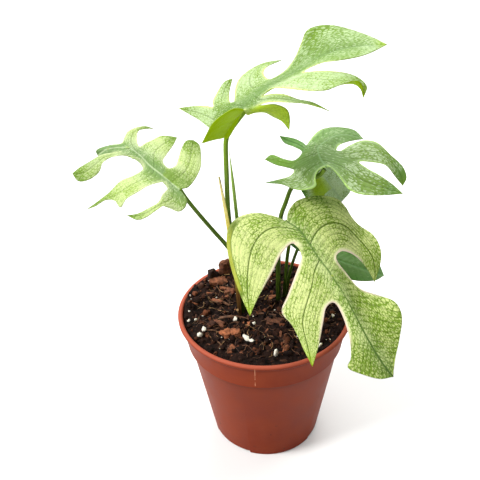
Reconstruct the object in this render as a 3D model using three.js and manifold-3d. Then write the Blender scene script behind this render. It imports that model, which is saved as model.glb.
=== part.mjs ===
// A mini monstera with netted, pale leaves, in its plastic nursery pot.
// Millimetres, +Z up. The origin is the middle of the pot's base, and the plant leans out
// over the front of the pot, towards -Y.
import * as THREE from 'three';
import { mergeGeometries, mergeVertices } from 'three/addons/utils/BufferGeometryUtils.js';
import Module from 'manifold-3d';

// The pot: a thin moulded shell with a collar band and a rolled lip.
const POT_HEIGHT = 104.5;
const LIP_RADIUS = 60;
const BASE_RADIUS = 38.7;
const COLLAR_FOOT_RADIUS = 54.5;
const COLLAR_HEIGHT = 22.9;
const COLLAR_STEP = 1.9;
const WALL = 1.4;
const FLOOR = 2;
const LIP_ROUND = 1.7;
const POT_SIDES = 48;

// The notches in the edge of the base, which let water out.
const NOTCH_ANGLES = [-43, 77, 197];
const NOTCH_SPAN = 50;
const NOTCH_HEIGHT = 2.6;
const NOTCH_DEPTH = 4.5;

// The potting mix.
const SOIL_LEVEL = 100;
const SOIL_HEAP = 5;
const SOIL_RINGS = 7;
const SOIL_SIDES = 36;
const GAP = 0.3;
const STALK_DEPTH = 10;
const BARK_CHIPS = 18;
const CLEAR_OF_STALKS = 6.5;

// The leaves: each blade is a bent sheet with a raised midrib underneath.
const BLADE = 0.8;
const MIDRIB_RIDGE = 1.1;
const CAMBER = 0.05;
const LOBE_ROWS = 13;
const WEB_ROWS = 3;
const FAIRING_PASSES = 4;
const MERGE = 1e-3;

const wasm = await Module();
wasm.setup();

// ---------------------------------------------------------------- solids

function toSolid(geometry) {
  const bare = geometry.clone();
  bare.deleteAttribute('normal');
  bare.deleteAttribute('uv');
  const merged = mergeVertices(bare, MERGE);
  const mesh = new wasm.Mesh({
    numProp: 3,
    vertProperties: Float32Array.from(merged.attributes.position.array),
    triVerts: Uint32Array.from(merged.index.array),
  });
  return new wasm.Manifold(mesh);
}

function toGeometry(solid) {
  const { vertProperties, triVerts } = solid.getMesh();
  const geometry = new THREE.BufferGeometry();
  geometry.setAttribute('position', new THREE.BufferAttribute(vertProperties, 3));
  geometry.setIndex(new THREE.BufferAttribute(triVerts, 1));
  geometry.computeVertexNormals();
  return geometry;
}

// A profile of [radius, height] pairs turned about the upright axis.
function turned(profile, sides) {
  const outline = profile.map(([radius, height]) => new THREE.Vector2(radius, height));
  return new THREE.LatheGeometry(outline, sides).rotateX(Math.PI / 2);
}

// Even draws between 0 and 1 from a seed, the same each time.
function seededDraws(seed) {
  let state = seed;
  return () => {
    state = (state * 1664525 + 1013904223) % 4294967296;
    return state / 4294967296;
  };
}

// ---------------------------------------------------------------- pot

const collarFoot = POT_HEIGHT - COLLAR_HEIGHT;
const collarTopRadius = LIP_RADIUS - 2.3;
const lipCentre = [LIP_RADIUS - LIP_ROUND, POT_HEIGHT - LIP_ROUND];

const innerProfile = [
  [collarTopRadius - WALL, POT_HEIGHT - 4.5],
  [COLLAR_FOOT_RADIUS - WALL, collarFoot + 1.5],
  [COLLAR_FOOT_RADIUS - COLLAR_STEP - WALL, collarFoot - 1.5],
  [BASE_RADIUS - WALL, FLOOR + 1.5],
  [BASE_RADIUS - WALL - 1.5, FLOOR],
];

function potShell() {
  const profile = [
    [0, 0],
    [BASE_RADIUS - 1.2, 0],
    [BASE_RADIUS, 1.2],
    [COLLAR_FOOT_RADIUS - COLLAR_STEP, collarFoot + 0.6],
    [COLLAR_FOOT_RADIUS - 0.4, collarFoot],
    [COLLAR_FOOT_RADIUS, collarFoot + 0.5],
    [collarTopRadius, POT_HEIGHT - 4.2],
  ];
  for (let degrees = -50; degrees <= 200; degrees += 50) {
    const turn = THREE.MathUtils.degToRad(degrees);
    const [radius, height] = lipCentre;
    profile.push([radius + LIP_ROUND * Math.cos(turn), height + LIP_ROUND * Math.sin(turn)]);
  }
  profile.push(...innerProfile, [0, FLOOR]);
  return toSolid(turned(profile, POT_SIDES));
}

// A block bent round the base's edge, for one notch.
function notchCutter(degrees) {
  const inside = BASE_RADIUS - NOTCH_DEPTH;
  const outside = BASE_RADIUS + 2;
  const start = THREE.MathUtils.degToRad(degrees - NOTCH_SPAN / 2 - 90);
  const end = THREE.MathUtils.degToRad(degrees + NOTCH_SPAN / 2 - 90);
  const shape = new THREE.Shape();
  shape.absarc(0, 0, outside, start, end, false);
  shape.absarc(0, 0, inside, end, start, true);
  const settings = { depth: NOTCH_HEIGHT + 1, bevelEnabled: false, curveSegments: 6 };
  return toSolid(new THREE.ExtrudeGeometry(shape, settings).translate(0, 0, -1));
}

function makePot() {
  let pot = potShell();
  for (const degrees of NOTCH_ANGLES) {
    pot = pot.subtract(notchCutter(degrees));
  }
  return toGeometry(pot);
}

// ---------------------------------------------------------------- leaves

// Each leaf: the midrib's knots from the stalk to the tip, the knot where the end lobe starts,
// and its lobes in turn round the blade, from one side of the stalk to the other. A lobe has its
// foot's width in midrib steps, the margin's knots on the way out to its tip and back, and the
// bottom of the cut that parts it from the next lobe. The end lobe's tip is the midrib's end.
const LEAVES = {
  leaf_top: {
    midrib: [
      [-22, 0, 235], [-18, -2, 243], [-14, -4, 251], [-9, -5, 259], [-2, -4, 264], [6, -2, 269],
      [16, 0, 273], [28, 2, 280], [42, 2, 286], [57, 1, 289], [70, -2, 290],
    ],
    endKnot: 6,
    lobes: [
      {
        foot: 3,
        out: [[-24, -6, 237], [-28, -14, 240]],
        tip: [-34, -20, 241],
        back: [[-31, -20, 247], [-27, -21, 254], [-21, -21, 259], [-15, -18, 261]],
        sinus: [-10, -10, 257],
      },
      {
        foot: 2,
        out: [[-8, -6, 252], [-4, -10, 255], [2, -12, 256], [7, -14, 254], [12, -16, 252]],
        tip: [16, -17, 247],
        back: [[16, -22, 257], [14, -24, 263], [8, -22, 265], [2, -18, 263]],
        sinus: [-2, -11, 259],
      },
      {
        foot: 2,
        out: [[3, -20, 265], [9, -27, 268], [18, -33, 270], [27, -36, 270]],
        tip: [36, -38, 267],
        back: [[28, -31, 269], [20, -26, 269], [13, -21, 270], [6, -15, 268]],
        sinus: [1, -10, 265],
      },
      {
        foot: 3,
        out: [
          [6, -17, 272], [14, -25, 275], [24, -31, 276], [34, -34, 277], [43, -33, 280],
          [50, -31, 281], [54, -30, 278],
        ],
        tip: [55, -28, 270],
        back: [[57, -25, 275], [53, -23, 279], [46, -20, 281], [34, -16, 281]],
        sinus: [24, -9, 278],
      },
      {
        out: [[33, -12, 284], [42, -17, 287], [52, -18, 289], [60, -14, 290]],
        back: [
          [63, 12, 290], [52, 20, 292], [42, 22, 294], [34, 22, 294], [27, 20, 292],
          [24, 17, 286], [20, 13, 278], [14, 10, 272],
        ],
        sinus: [6, 12, 266],
      },
      {
        foot: 4,
        out: [[2, 16, 268], [4, 22, 270]],
        tip: [13, 30, 271],
        back: [[4, 30, 270], [-5, 28, 267], [-12, 24, 263], [-15, 18, 259]],
        sinus: [-16, 10, 252],
      },
      {
        foot: 3,
        out: [[-19, 16, 251], [-19, 22, 255]],
        tip: [-17, 28, 261],
        back: [[-22, 28, 259], [-25, 25, 256], [-29, 21, 250]],
        sinus: [-29, 18, 247],
      },
      {
        foot: 3,
        out: [[-34, 22, 246], [-43, 24, 245]],
        tip: [-51, 24, 244],
        back: [[-45, 20, 242], [-37, 15, 239], [-29, 7, 236]],
      },
    ],
  },
  leaf_left: {
    midrib: [
      [-52, 2, 199], [-57, 6, 201], [-64, 11, 205], [-72, 18, 208], [-78, 24, 212], [-85, 29, 215],
      [-91, 31, 215], [-98, 32, 214], [-103, 33, 212], [-108, 33, 208],
    ],
    endKnot: 5,
    lobes: [
      {
        foot: 3,
        out: [[-47, 6, 198], [-43, 15, 199], [-40, 25, 202], [-40, 33, 206], [-41, 39, 211]],
        tip: [-45, 41, 214],
        back: [[-50, 40.2, 213.8], [-53, 35, 210], [-54.5, 28, 207], [-56, 21, 205.5]],
        sinus: [-60, 17, 206],
      },
      {
        foot: 3,
        out: [[-64, 22, 208], [-62, 28, 210], [-58, 36, 213]],
        tip: [-56, 43, 215],
        back: [[-60, 43, 216], [-66, 42, 217], [-71, 39, 216], [-76, 36, 215]],
        sinus: [-80, 33, 214],
      },
      {
        foot: 3,
        out: [[-82, 39, 217], [-81, 44, 220], [-76, 47, 220]],
        tip: [-72, 49, 219],
        back: [[-77, 49, 221], [-83, 47, 221], [-88, 44, 220], [-90, 40, 218]],
        sinus: [-92, 36, 215],
      },
      {
        out: [[-99, 36, 214], [-106, 36, 212], [-109, 34, 211]],
        back: [[-103, 31, 209], [-98, 30, 211]],
        sinus: [-92, 28, 213],
      },
      {
        foot: 3,
        out: [[-99, 28, 212], [-105, 27, 211], [-112, 24, 208], [-118, 20, 206]],
        tip: [-122, 16, 204],
        back: [
          [-118, 13, 200], [-111, 13, 201], [-105, 17, 204], [-102, 21, 209], [-96, 23, 212],
          [-86, 24, 212], [-78, 21, 210],
        ],
        sinus: [-76, 17, 206],
      },
      {
        foot: 3,
        out: [[-83, 17, 201], [-91, 14, 199], [-98, 8, 194], [-104, 4, 191]],
        tip: [-112, 1, 186],
        back: [
          [-105, 1, 189], [-99, 2, 193], [-93, -1, 193], [-89, -6, 191], [-85, -4, 196],
          [-79, 0, 198], [-71, 4, 201],
        ],
        sinus: [-63, 6, 202],
      },
      {
        foot: 3,
        out: [
          [-60, 5, 201], [-60, 2, 199], [-63, -1, 197], [-65, -4, 193], [-71, -7, 191],
          [-78, -9, 188],
        ],
        tip: [-85, -9, 187],
        back: [
          [-78, -13, 186], [-72, -13, 188], [-66, -10, 191], [-62, -7, 192], [-58, -6, 190],
          [-53, -7, 188], [-49, -7, 190], [-47, -6, 194], [-48, -3, 196],
        ],
      },
    ],
  },
  leaf_right: {
    midrib: [
      [40, 8, 210], [37, 17, 211], [36, 27, 213], [41, 37, 213], [49, 46, 213], [59, 53, 210],
      [69, 56, 205],
    ],
    endKnot: 3,
    lobes: [
      {
        foot: 4,
        out: [[43, 3, 211], [48, -3, 207], [53, -8, 202], [61, -9, 199], [73, -7, 197]],
        tip: [87, -2, 195],
        back: [[81, 3, 199], [73, 6, 204], [66, 9, 207]],
        sinus: [61, 13, 210],
      },
      {
        foot: 4,
        out: [[70, 14, 209], [78, 13, 207], [84, 11, 200]],
        tip: [89, 10, 194],
        back: [
          [92, 15, 197], [90, 21, 202], [83, 27, 207], [75, 33, 213], [66, 35, 214], [58, 33, 212],
        ],
        sinus: [48, 27, 209],
      },
      {
        out: [[50, 36, 210], [57, 42, 210]],
        back: [[64, 63, 208], [56, 64, 210], [45, 62, 211], [38, 58, 210], [33, 52, 207]],
        sinus: [30, 46, 206],
      },
      {
        foot: 3,
        out: [[28, 52, 205], [22, 57, 206]],
        tip: [12, 60, 207],
        back: [[16, 56, 203], [22, 50, 203]],
        sinus: [27, 42, 203],
      },
      {
        foot: 2,
        out: [[22, 40, 198], [15, 46, 196], [7, 51, 197]],
        tip: [2, 50, 194],
        back: [[9, 44, 193], [16, 36, 195]],
        sinus: [21, 26, 198],
      },
      {
        foot: 3,
        out: [[18, 18, 198], [11, 12, 199]],
        tip: [2, 6, 200],
        back: [[12, 2, 201], [19, -2, 200], [26, -4, 200], [33, -3, 202], [33, 2, 205], [35, 6, 208]],
      },
    ],
  },
  leaf_front: {
    midrib: [
      [15, -8, 180], [22, -14, 178], [28, -20, 172], [34, -27, 165], [41, -34, 158], [50, -44, 147],
      [62, -55, 126], [72, -60, 109], [80, -61, 97],
    ],
    endKnot: 4,
    lobes: [
      {
        foot: 5,
        out: [
          [7, -3, 181], [-4, 1, 181], [-15, -3, 181], [-22, -7, 175], [-23, -11, 163],
          [-20, -19, 150], [-15, -29, 139],
        ],
        tip: [-9, -38, 129],
        back: [[-4, -36, 141], [5, -30, 156], [12, -23, 167]],
        sinus: [19, -19, 171],
      },
      {
        foot: 5,
        out: [
          [25, -21, 166], [21, -28, 157], [15, -36, 144], [11, -40, 133], [18, -48, 128],
          [24, -59, 118],
        ],
        tip: [29, -66, 111],
        back: [[33, -59, 122], [36, -51, 134], [38, -46, 141]],
        sinus: [43, -44, 143],
      },
      {
        out: [
          [48, -47, 136], [52, -54, 124], [53, -60, 113], [51, -63, 107], [60, -65, 103],
          [71, -65, 99],
        ],
        back: [
          [81, -57, 107], [84, -49, 118], [86, -41, 129], [82, -35, 136], [72, -32, 139],
          [60, -30, 143], [51, -28, 154],
        ],
        sinus: [45, -26, 163],
      },
      {
        foot: 10,
        out: [[49, -20, 165], [58, -17, 159], [66, -17, 149]],
        tip: [71, -19, 140],
        back: [
          [75, -12, 150], [75, -8, 159], [70, -2, 166], [60, 6, 169], [53, 12, 179],
          [46, 14, 184], [34, 11, 187], [22, 4, 188], [16, -4, 185],
        ],
      },
    ],
  },
  leaf_back: {
    midrib: [[28, 20, 139], [39, 17, 138], [50, 14, 135], [60, 12, 132], [72, 10, 128], [82, 8, 125]],
    endKnot: 2,
    lobes: [
      {
        foot: 4,
        out: [[25, 17, 140], [21, 14, 145]],
        tip: [17, 14, 149],
        back: [[23, 12, 150], [29, 8, 146]],
        sinus: [38, 9, 136],
      },
      {
        out: [[48, 5, 129], [62, 3, 125], [75, 4, 124]],
        back: [[80, 16, 128], [77, 23, 135], [67, 29, 142]],
        sinus: [52, 26, 138],
      },
      {
        foot: 4,
        out: [[49, 32, 147], [41, 36, 151]],
        tip: [33, 38, 152],
        back: [[27, 34, 147], [25, 26, 141]],
      },
    ],
  },
  leaf_under: {
    midrib: [[37, 30, 195], [42, 31, 189], [47, 32, 181], [54, 32, 171]],
    endKnot: 2,
    lobes: [
      {
        foot: 4,
        out: [[33, 27, 193], [28, 26, 188]],
        tip: [26, 26, 183],
        back: [[30, 26, 176], [37, 27, 172]],
        sinus: [41, 29, 177],
      },
      {
        out: [[47, 29, 171]],
        back: [[59, 33, 177], [60, 35, 183]],
        sinus: [52, 34, 187],
      },
      {
        foot: 4,
        out: [[55, 37, 192]],
        tip: [51, 38, 196],
        back: [[44, 36, 198], [39, 33, 197]],
      },
    ],
  },
};

const toVector = ([x, y, z]) => new THREE.Vector3(x, y, z);

const smoothCurve = (knots) => new THREE.CatmullRomCurve3(knots, false, 'catmullrom', 0.5);

// A run of a curve between two of its knots.
class Stretch extends THREE.Curve {
  constructor(curve, fromKnot, toKnot) {
    super();
    this.curve = curve;
    this.from = fromKnot / (curve.points.length - 1);
    this.to = toKnot / (curve.points.length - 1);
  }

  getPoint(t, target) {
    return this.curve.getPoint(THREE.MathUtils.lerp(this.from, this.to, t), target);
  }
}

// The two margins of every lobe, each from the bottom of its cut to the lobe's tip.
function lobeMargins(leaf, base, leafTip) {
  const tipOf = (lobe) => (lobe.tip ? toVector(lobe.tip) : leafTip);
  const margins = leaf.lobes.map(() => ({}));
  for (let next = 0; next <= leaf.lobes.length; next++) {
    const before = leaf.lobes[next - 1];
    const after = leaf.lobes[next];
    const start = before ? tipOf(before) : base;
    const end = after ? tipOf(after) : base;
    const back = before ? before.back.map(toVector) : [];
    const sinus = before?.sinus ? [toVector(before.sinus)] : [];
    const out = after ? after.out.map(toVector) : [];
    const curve = smoothCurve([start, ...back, ...sinus, ...out, end]);
    const cut = before && after ? 1 + back.length : null;
    if (before) {
      const bottom = cut ?? curve.points.length - 1;
      margins[next - 1].back = new Stretch(curve, bottom, 0);
      margins[next - 1].backCut = cut ? curve.points[cut] : null;
    }
    if (after) {
      margins[next].out = new Stretch(curve, cut ?? 0, curve.points.length - 1);
      margins[next].outCut = cut ? curve.points[cut] : null;
    }
  }
  return margins;
}

// One margin in rows: first along the web from the midrib to the cut, then free to the tip.
function marginRows(foot, cut, margin) {
  if (!cut) {
    return margin.getSpacedPoints(LOBE_ROWS);
  }
  const rows = [];
  for (let row = 0; row < WEB_ROWS; row++) {
    rows.push(foot.clone().lerp(cut, row / WEB_ROWS));
  }
  return [...rows, ...margin.getSpacedPoints(LOBE_ROWS - WEB_ROWS)];
}

// A grid of faces between two margins, arched across, with its first row on the midrib.
function lobeGrid(outRows, backRows, footRow, spine) {
  const columns = footRow.length - 1;
  const grid = new THREE.PlaneGeometry(1, 1, columns, LOBE_ROWS);
  const middles = outRows.map((point, row) => spine?.[row] ?? point.clone().lerp(backRows[row], 0.5));
  const point = new THREE.Vector3();
  for (let row = 0; row <= LOBE_ROWS; row++) {
    const width = backRows[row].clone().sub(outRows[row]);
    const ahead = middles[Math.min(row + 1, LOBE_ROWS)].clone().sub(middles[Math.max(row - 1, 0)]);
    const up = ahead.cross(width).normalize();
    const arch = spine ? 0 : CAMBER * width.length() * Math.min(row / WEB_ROWS, 1);
    for (let column = 0; column <= columns; column++) {
      const across = column / columns;
      if (spine && across < 0.5) {
        point.lerpVectors(outRows[row], middles[row], 2 * across);
      } else if (spine) {
        point.lerpVectors(middles[row], backRows[row], 2 * across - 1);
      } else {
        point.lerpVectors(outRows[row], backRows[row], across);
      }
      const straight = outRows[0].clone().lerp(backRows[0], across);
      const pull = (1 - row / LOBE_ROWS) ** 2;
      point.addScaledVector(footRow[column].clone().sub(straight), pull);
      point.addScaledVector(up, arch * 4 * across * (1 - across));
      grid.attributes.position.setXYZ(row * (columns + 1) + column, point.x, point.y, point.z);
    }
  }
  return grid;
}

const END_LOBE_COLUMNS = 6;

// The whole blade as one sheet, with the points that its midrib runs through.
function bladeSheet(leaf) {
  const midribCurve = smoothCurve(leaf.midrib.map(toVector));
  const steps = leaf.lobes.reduce((sum, lobe) => sum + (lobe.foot ?? 0), 0) / 2;
  const stations = new Stretch(midribCurve, 0, leaf.endKnot).getSpacedPoints(steps);
  const endLobe = new Stretch(midribCurve, leaf.endKnot, leaf.midrib.length - 1);
  const spine = endLobe.getSpacedPoints(LOBE_ROWS);
  const margins = lobeMargins(leaf, stations[0], spine[LOBE_ROWS]);
  const grids = [];
  let station = 0;
  let direction = 1;
  leaf.lobes.forEach((lobe, number) => {
    const { out, outCut, back, backCut } = margins[number];
    const isEnd = !lobe.foot;
    const nextStation = station + direction * (lobe.foot ?? 0);
    const outRows = marginRows(stations[station], outCut, out);
    const backRows = marginRows(stations[nextStation], backCut, back);
    const footRow = [];
    if (isEnd) {
      footRow.push(...new Array(END_LOBE_COLUMNS + 1).fill(spine[0]));
      direction = -1;
    } else {
      for (let step = 0; step <= lobe.foot; step++) {
        footRow.push(stations[station + direction * step]);
      }
    }
    grids.push(lobeGrid(outRows, backRows, footRow, isEnd ? spine : null));
    station = nextStation;
  });
  const sheet = mergeGeometries(grids);
  sheet.deleteAttribute('normal');
  sheet.deleteAttribute('uv');
  return { sheet: mergeVertices(sheet, MERGE), midrib: [...stations, ...spine] };
}

// The faces of a sheet that have three different corners.
function wholeFaces(index) {
  const faces = [];
  for (let i = 0; i < index.length; i += 3) {
    const [a, b, c] = [index[i], index[i + 1], index[i + 2]];
    if (a !== b && b !== c && c !== a) {
      faces.push([a, b, c]);
    }
  }
  return faces;
}

// The directed edges of a sheet that only one face has.
function openEdges(faces) {
  const seen = new Map();
  for (const [a, b, c] of faces) {
    for (const [from, to] of [[a, b], [b, c], [c, a]]) {
      const key = `${Math.min(from, to)} ${Math.max(from, to)}`;
      seen.set(key, seen.has(key) ? null : [from, to]);
    }
  }
  return [...seen.values()].filter(Boolean);
}

// Evens out the sheet between its margin and its midrib.
function fairSheet(points, faces, fixed) {
  const neighbours = points.map(() => new Set());
  for (const [a, b, c] of faces) {
    neighbours[a].add(b).add(c);
    neighbours[b].add(a).add(c);
    neighbours[c].add(a).add(b);
  }
  for (let pass = 0; pass < FAIRING_PASSES; pass++) {
    const averages = points.map((point, i) => {
      const sum = new THREE.Vector3();
      neighbours[i].forEach((other) => sum.add(points[other]));
      return sum.divideScalar(Math.max(neighbours[i].size, 1));
    });
    points.forEach((point, i) => {
      if (!fixed.has(i)) {
        point.lerp(averages[i], 0.5);
      }
    });
  }
}

// A closed blade: the sheet's two faces and the rim between them.
function makeBlade(leaf, thickness) {
  const { sheet, midrib } = bladeSheet(leaf);
  const faces = wholeFaces(sheet.index.array);
  const position = sheet.attributes.position;
  const points = [];
  for (let i = 0; i < position.count; i++) {
    points.push(new THREE.Vector3().fromBufferAttribute(position, i));
  }
  const rim = openEdges(faces);
  const fixed = new Set(rim.flat());
  const ridges = points.map((point) => {
    const along = midrib.findIndex((station) => station.distanceTo(point) < 2 * MERGE);
    return along < 0 ? 0 : MIDRIB_RIDGE * (1 - along / midrib.length);
  });
  ridges.forEach((ridge, i) => {
    if (ridge > 0) {
      fixed.add(i);
    }
  });
  fairSheet(points, faces, fixed);
  points.forEach((point, i) => position.setXYZ(i, point.x, point.y, point.z));
  sheet.setIndex(faces.flat());
  sheet.computeVertexNormals();
  const count = points.length;
  const closed = new Float32Array(count * 6);
  const normal = new THREE.Vector3();
  let upward = 0;
  for (let i = 0; i < count; i++) {
    upward += sheet.attributes.normal.getZ(i);
  }
  points.forEach((point, i) => {
    normal.fromBufferAttribute(sheet.attributes.normal, i);
    const above = upward > 0 ? thickness / 2 : thickness / 2 + ridges[i];
    const below = upward > 0 ? thickness / 2 + ridges[i] : thickness / 2;
    point.clone().addScaledVector(normal, above).toArray(closed, i * 3);
    point.clone().addScaledVector(normal, -below).toArray(closed, (count + i) * 3);
  });
  const index = [];
  for (const [a, b, c] of faces) {
    index.push(a, b, c, count + a, count + c, count + b);
  }
  for (const [from, to] of rim) {
    index.push(to, from, count + from, to, count + from, count + to);
  }
  const blade = new THREE.BufferGeometry();
  blade.setAttribute('position', new THREE.BufferAttribute(closed, 3));
  blade.setIndex(index);
  blade.computeVertexNormals();
  return blade;
}

// ---------------------------------------------------------------- stalks

// Each stalk's route from the soil to what it carries, with its radius at the foot and the top.
const STALKS = {
  petiole_top: {
    route: [
      [-15, 4, 98], [-19, 3, 142], [-22, 2, 179], [-22, 1, 208], [-21.8, 0.7, 226],
      [-21.4, 1.7, 232], [-20.2, 2.4, 236], [-18.1, 1.6, 239.7], [-15.4, 0.4, 244.1],
      [-12.7, -0.6, 248.3], [-10.4, -2.2, 252], [-9.2, -4, 255.6],
    ],
    radii: [1.9, 1.4],
    carries: 'leaf_top',
  },
  petiole_left: {
    route: [
      [-17, 10, 98], [-17, 9.5, 120], [-19, 9, 140], [-24.3, 8, 151.6], [-32.3, 7, 163.9],
      [-40.2, 5.5, 176.7], [-47.4, 3.5, 189.5], [-52, 2, 199],
    ],
    radii: [1.6, 1.3],
    carries: 'leaf_left',
  },
  petiole_right: {
    route: [
      [10, 13, 98], [10, 13, 128], [10.4, 13, 150], [11.7, 12.6, 170.2], [14.9, 12.5, 181.4],
      [18.1, 12.2, 191.5], [21.5, 11.3, 196], [27, 10, 199], [36, 8, 204], [39, 8, 208],
    ],
    radii: [1.9, 1.3],
    carries: 'leaf_right',
  },
  petiole_front: {
    route: [[14, 18, 98], [16, 12, 137], [17, 8, 151], [16, 1, 166], [15, -8, 180]],
    radii: [1.3, 1.2],
    carries: 'leaf_front',
  },
  petiole_back: {
    route: [[34, 22, 98], [32, 22, 119], [28, 20, 139]],
    radii: [1.2, 1.1],
    carries: 'leaf_back',
  },
  petiole_under: {
    route: [
      [16, 23, 98], [18.4, 23, 118], [21.3, 23.2, 130], [26, 24, 145], [32, 26, 164],
      [36, 29, 184], [36.6, 29.6, 192],
    ],
    radii: [1.2, 1],
    carries: 'leaf_under',
  },
  new_shoot: {
    route: [[-13, 8, 98], [-17, 6, 177], [-20, 6, 224]],
    radii: [1.8, 0.9],
  },
};

const STALK_SIDES = 8;
const STALK_STEP = 6;

// A tapered round bar along a route.
function bentBar(route, footRadius, topRadius) {
  const curve = smoothCurve(route);
  const steps = Math.ceil(curve.getLength() / STALK_STEP);
  const bar = new THREE.CylinderGeometry(topRadius, footRadius, 1, STALK_SIDES, steps);
  const frames = curve.computeFrenetFrames(steps, false);
  const centres = curve.getSpacedPoints(steps);
  const point = new THREE.Vector3();
  for (let i = 0; i < bar.attributes.position.count; i++) {
    point.fromBufferAttribute(bar.attributes.position, i);
    const step = Math.round((point.y + 0.5) * steps);
    const { x, z } = point;
    point.copy(centres[step]);
    point.addScaledVector(frames.binormals[step], x).addScaledVector(frames.normals[step], z);
    bar.attributes.position.setXYZ(i, point.x, point.y, point.z);
  }
  return bar;
}

// The stalk's route, carried on down into the soil by a depth.
function rootedRoute(route, depth) {
  const [x, y, z] = route[0];
  return [new THREE.Vector3(x, y, z - depth), ...route.map(toVector)];
}

function makeStalk({ route, radii, carries }) {
  const stalk = toSolid(bentBar(rootedRoute(route, STALK_DEPTH), ...radii));
  if (!carries) {
    return toGeometry(stalk);
  }
  const clearance = toSolid(makeBlade(LEAVES[carries], BLADE + 2 * GAP));
  return toGeometry(stalk.subtract(clearance));
}

// ---------------------------------------------------------------- sheath

// The sheath is a strip, hollow towards the stalks that it once wrapped.
const SHEATH = [
  { middle: [-17.4, -1, 96], halfWidth: 2, hollow: 1 },
  { middle: [-18.2, -2, 120], halfWidth: 2.2, hollow: 1.1 },
  { middle: [-19.4, -3, 142], halfWidth: 2.4, hollow: 1.1 },
  { middle: [-21.2, -3, 162], halfWidth: 2.2, hollow: 0.9 },
  { middle: [-23.3, -2, 182], halfWidth: 1.7, hollow: 0.5 },
  { middle: [-25.2, -1.5, 198], halfWidth: 1.1, hollow: 0.2 },
  { middle: [-26.6, -1, 209], halfWidth: 0.4, hollow: 0 },
];
const SHEATH_COLUMNS = 6;

function makeSheath() {
  const strip = new THREE.PlaneGeometry(1, 1, SHEATH_COLUMNS, SHEATH.length - 1);
  const sideways = new THREE.Vector3(0.75, -0.66, 0);
  const outward = new THREE.Vector3(-0.66, -0.75, 0);
  const point = new THREE.Vector3();
  const closed = [];
  for (const side of [-BLADE / 2, BLADE / 2]) {
    SHEATH.forEach(({ middle, halfWidth, hollow }) => {
      for (let column = 0; column <= SHEATH_COLUMNS; column++) {
        const across = 2 * column / SHEATH_COLUMNS - 1;
        point.fromArray(middle).addScaledVector(sideways, across * halfWidth);
        point.addScaledVector(outward, side - hollow * across * across);
        closed.push(point.x, point.y, point.z);
      }
    });
  }
  const faces = wholeFaces(strip.index.array);
  const count = strip.attributes.position.count;
  const index = [];
  for (const [a, b, c] of faces) {
    index.push(a, b, c, count + a, count + c, count + b);
  }
  for (const [from, to] of openEdges(faces)) {
    index.push(to, from, count + from, to, count + from, count + to);
  }
  const sheath = new THREE.BufferGeometry();
  sheath.setAttribute('position', new THREE.Float32BufferAttribute(closed, 3));
  sheath.setIndex(index);
  sheath.computeVertexNormals();
  return sheath;
}

// ---------------------------------------------------------------- soil

// The top is uneven, and heaped up against the back of the pot on the left.
const soilHeight = (x, y) => SOIL_LEVEL
  + SOIL_HEAP * THREE.MathUtils.smoothstep(0.8 * y - 0.6 * x, 10, 55)
  + 0.9 * Math.sin(x / 9 + y / 14)
  + 0.7 * Math.sin(y / 6 - x / 11 + 1)
  + 0.5 * Math.sin(x / 4.1 + 2) * Math.cos(y / 4.6);

// The filling, from the pot's floor to the top, whose rings are turned well above it first.
function soilBody() {
  const [[rimRadius], ...wall] = innerProfile;
  const side = wall.map(([radius, height]) => [radius - GAP, height + GAP]).reverse();
  const edgeRadius = rimRadius - 2 * GAP;
  const profile = [[0, FLOOR + GAP], ...side];
  for (let ring = SOIL_RINGS; ring >= 0; ring--) {
    profile.push([edgeRadius * ring / SOIL_RINGS, 2 * POT_HEIGHT]);
  }
  const body = turned(profile, SOIL_SIDES);
  const position = body.attributes.position;
  for (let i = 0; i < position.count; i++) {
    if (position.getZ(i) > POT_HEIGHT) {
      position.setZ(i, soilHeight(position.getX(i), position.getY(i)));
    }
  }
  return toSolid(body);
}

function nearStalk(x, y) {
  return Object.values(STALKS).some(({ route }) => {
    const [stalkX, stalkY] = route[0];
    return Math.hypot(x - stalkX, y - stalkY) < CLEAR_OF_STALKS;
  });
}

// Bark that stands out of the mix: where each piece lies, its size and its turn. Two pieces
// stand up at the back, lifted by some millimetres.
const BARK_PIECES = [
  { at: [-28.5, 41.5], size: [8, 5, 14], turn: 0.5, lift: 4 },
  { at: [-38.3, 34.2], size: [6, 4.5, 13], turn: 0.9, lift: 3.5 },
  { at: [-21, 45], size: [7, 4, 6], turn: 0.1 },
  { at: [-45, 23.5], size: [5, 4, 6], turn: 1.3 },
  { at: [-34, 33], size: [11, 5, 4], turn: 0.2 },
  { at: [-23, -22], size: [12, 6.5, 5.5], turn: 0.15 },
  { at: [-31, -12], size: [9, 4, 3.4], turn: -0.6 },
  { at: [7, -8], size: [11, 6, 3], turn: -0.1 },
  { at: [14, -37], size: [6, 3, 4], turn: 0.9 },
];

// Perlite: where each lump lies, its length and its turn.
const PERLITE = [
  [-40.6, -1.5, 3.6, 1.2], [-52.4, 12.8, 2.6, 0.3], [-47.4, -8, 2.2, 0.4], [-52, -9, 2.4, 0.9],
  [-20, -8.3, 4, 1.3], [-43.5, -25, 4, 0.5], [-41, -20, 4.6, 1.8], [-12.8, -26, 5.4, 2.2],
  [-8.5, -31, 4.2, 2.8], [5.3, -45, 5, 1.5], [-7.2, -9.5, 2.8, 0.1], [36, -36, 3.6, 0.7],
  [47, -6, 3, 2], [42, 30, 3.8, 1.1], [8, 46, 3.2, 0.2], [-6, 28, 3, 1.9],
];

function barkPiece([length, width, height], turn) {
  return new THREE.BoxGeometry(length, width, height).rotateX(0.15).rotateY(0.12).rotateZ(turn);
}

function perliteLump(length, turn) {
  const lump = new THREE.IcosahedronGeometry(length / 2, 0);
  return lump.scale(1, 0.8, 0.9).rotateZ(turn);
}

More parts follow.
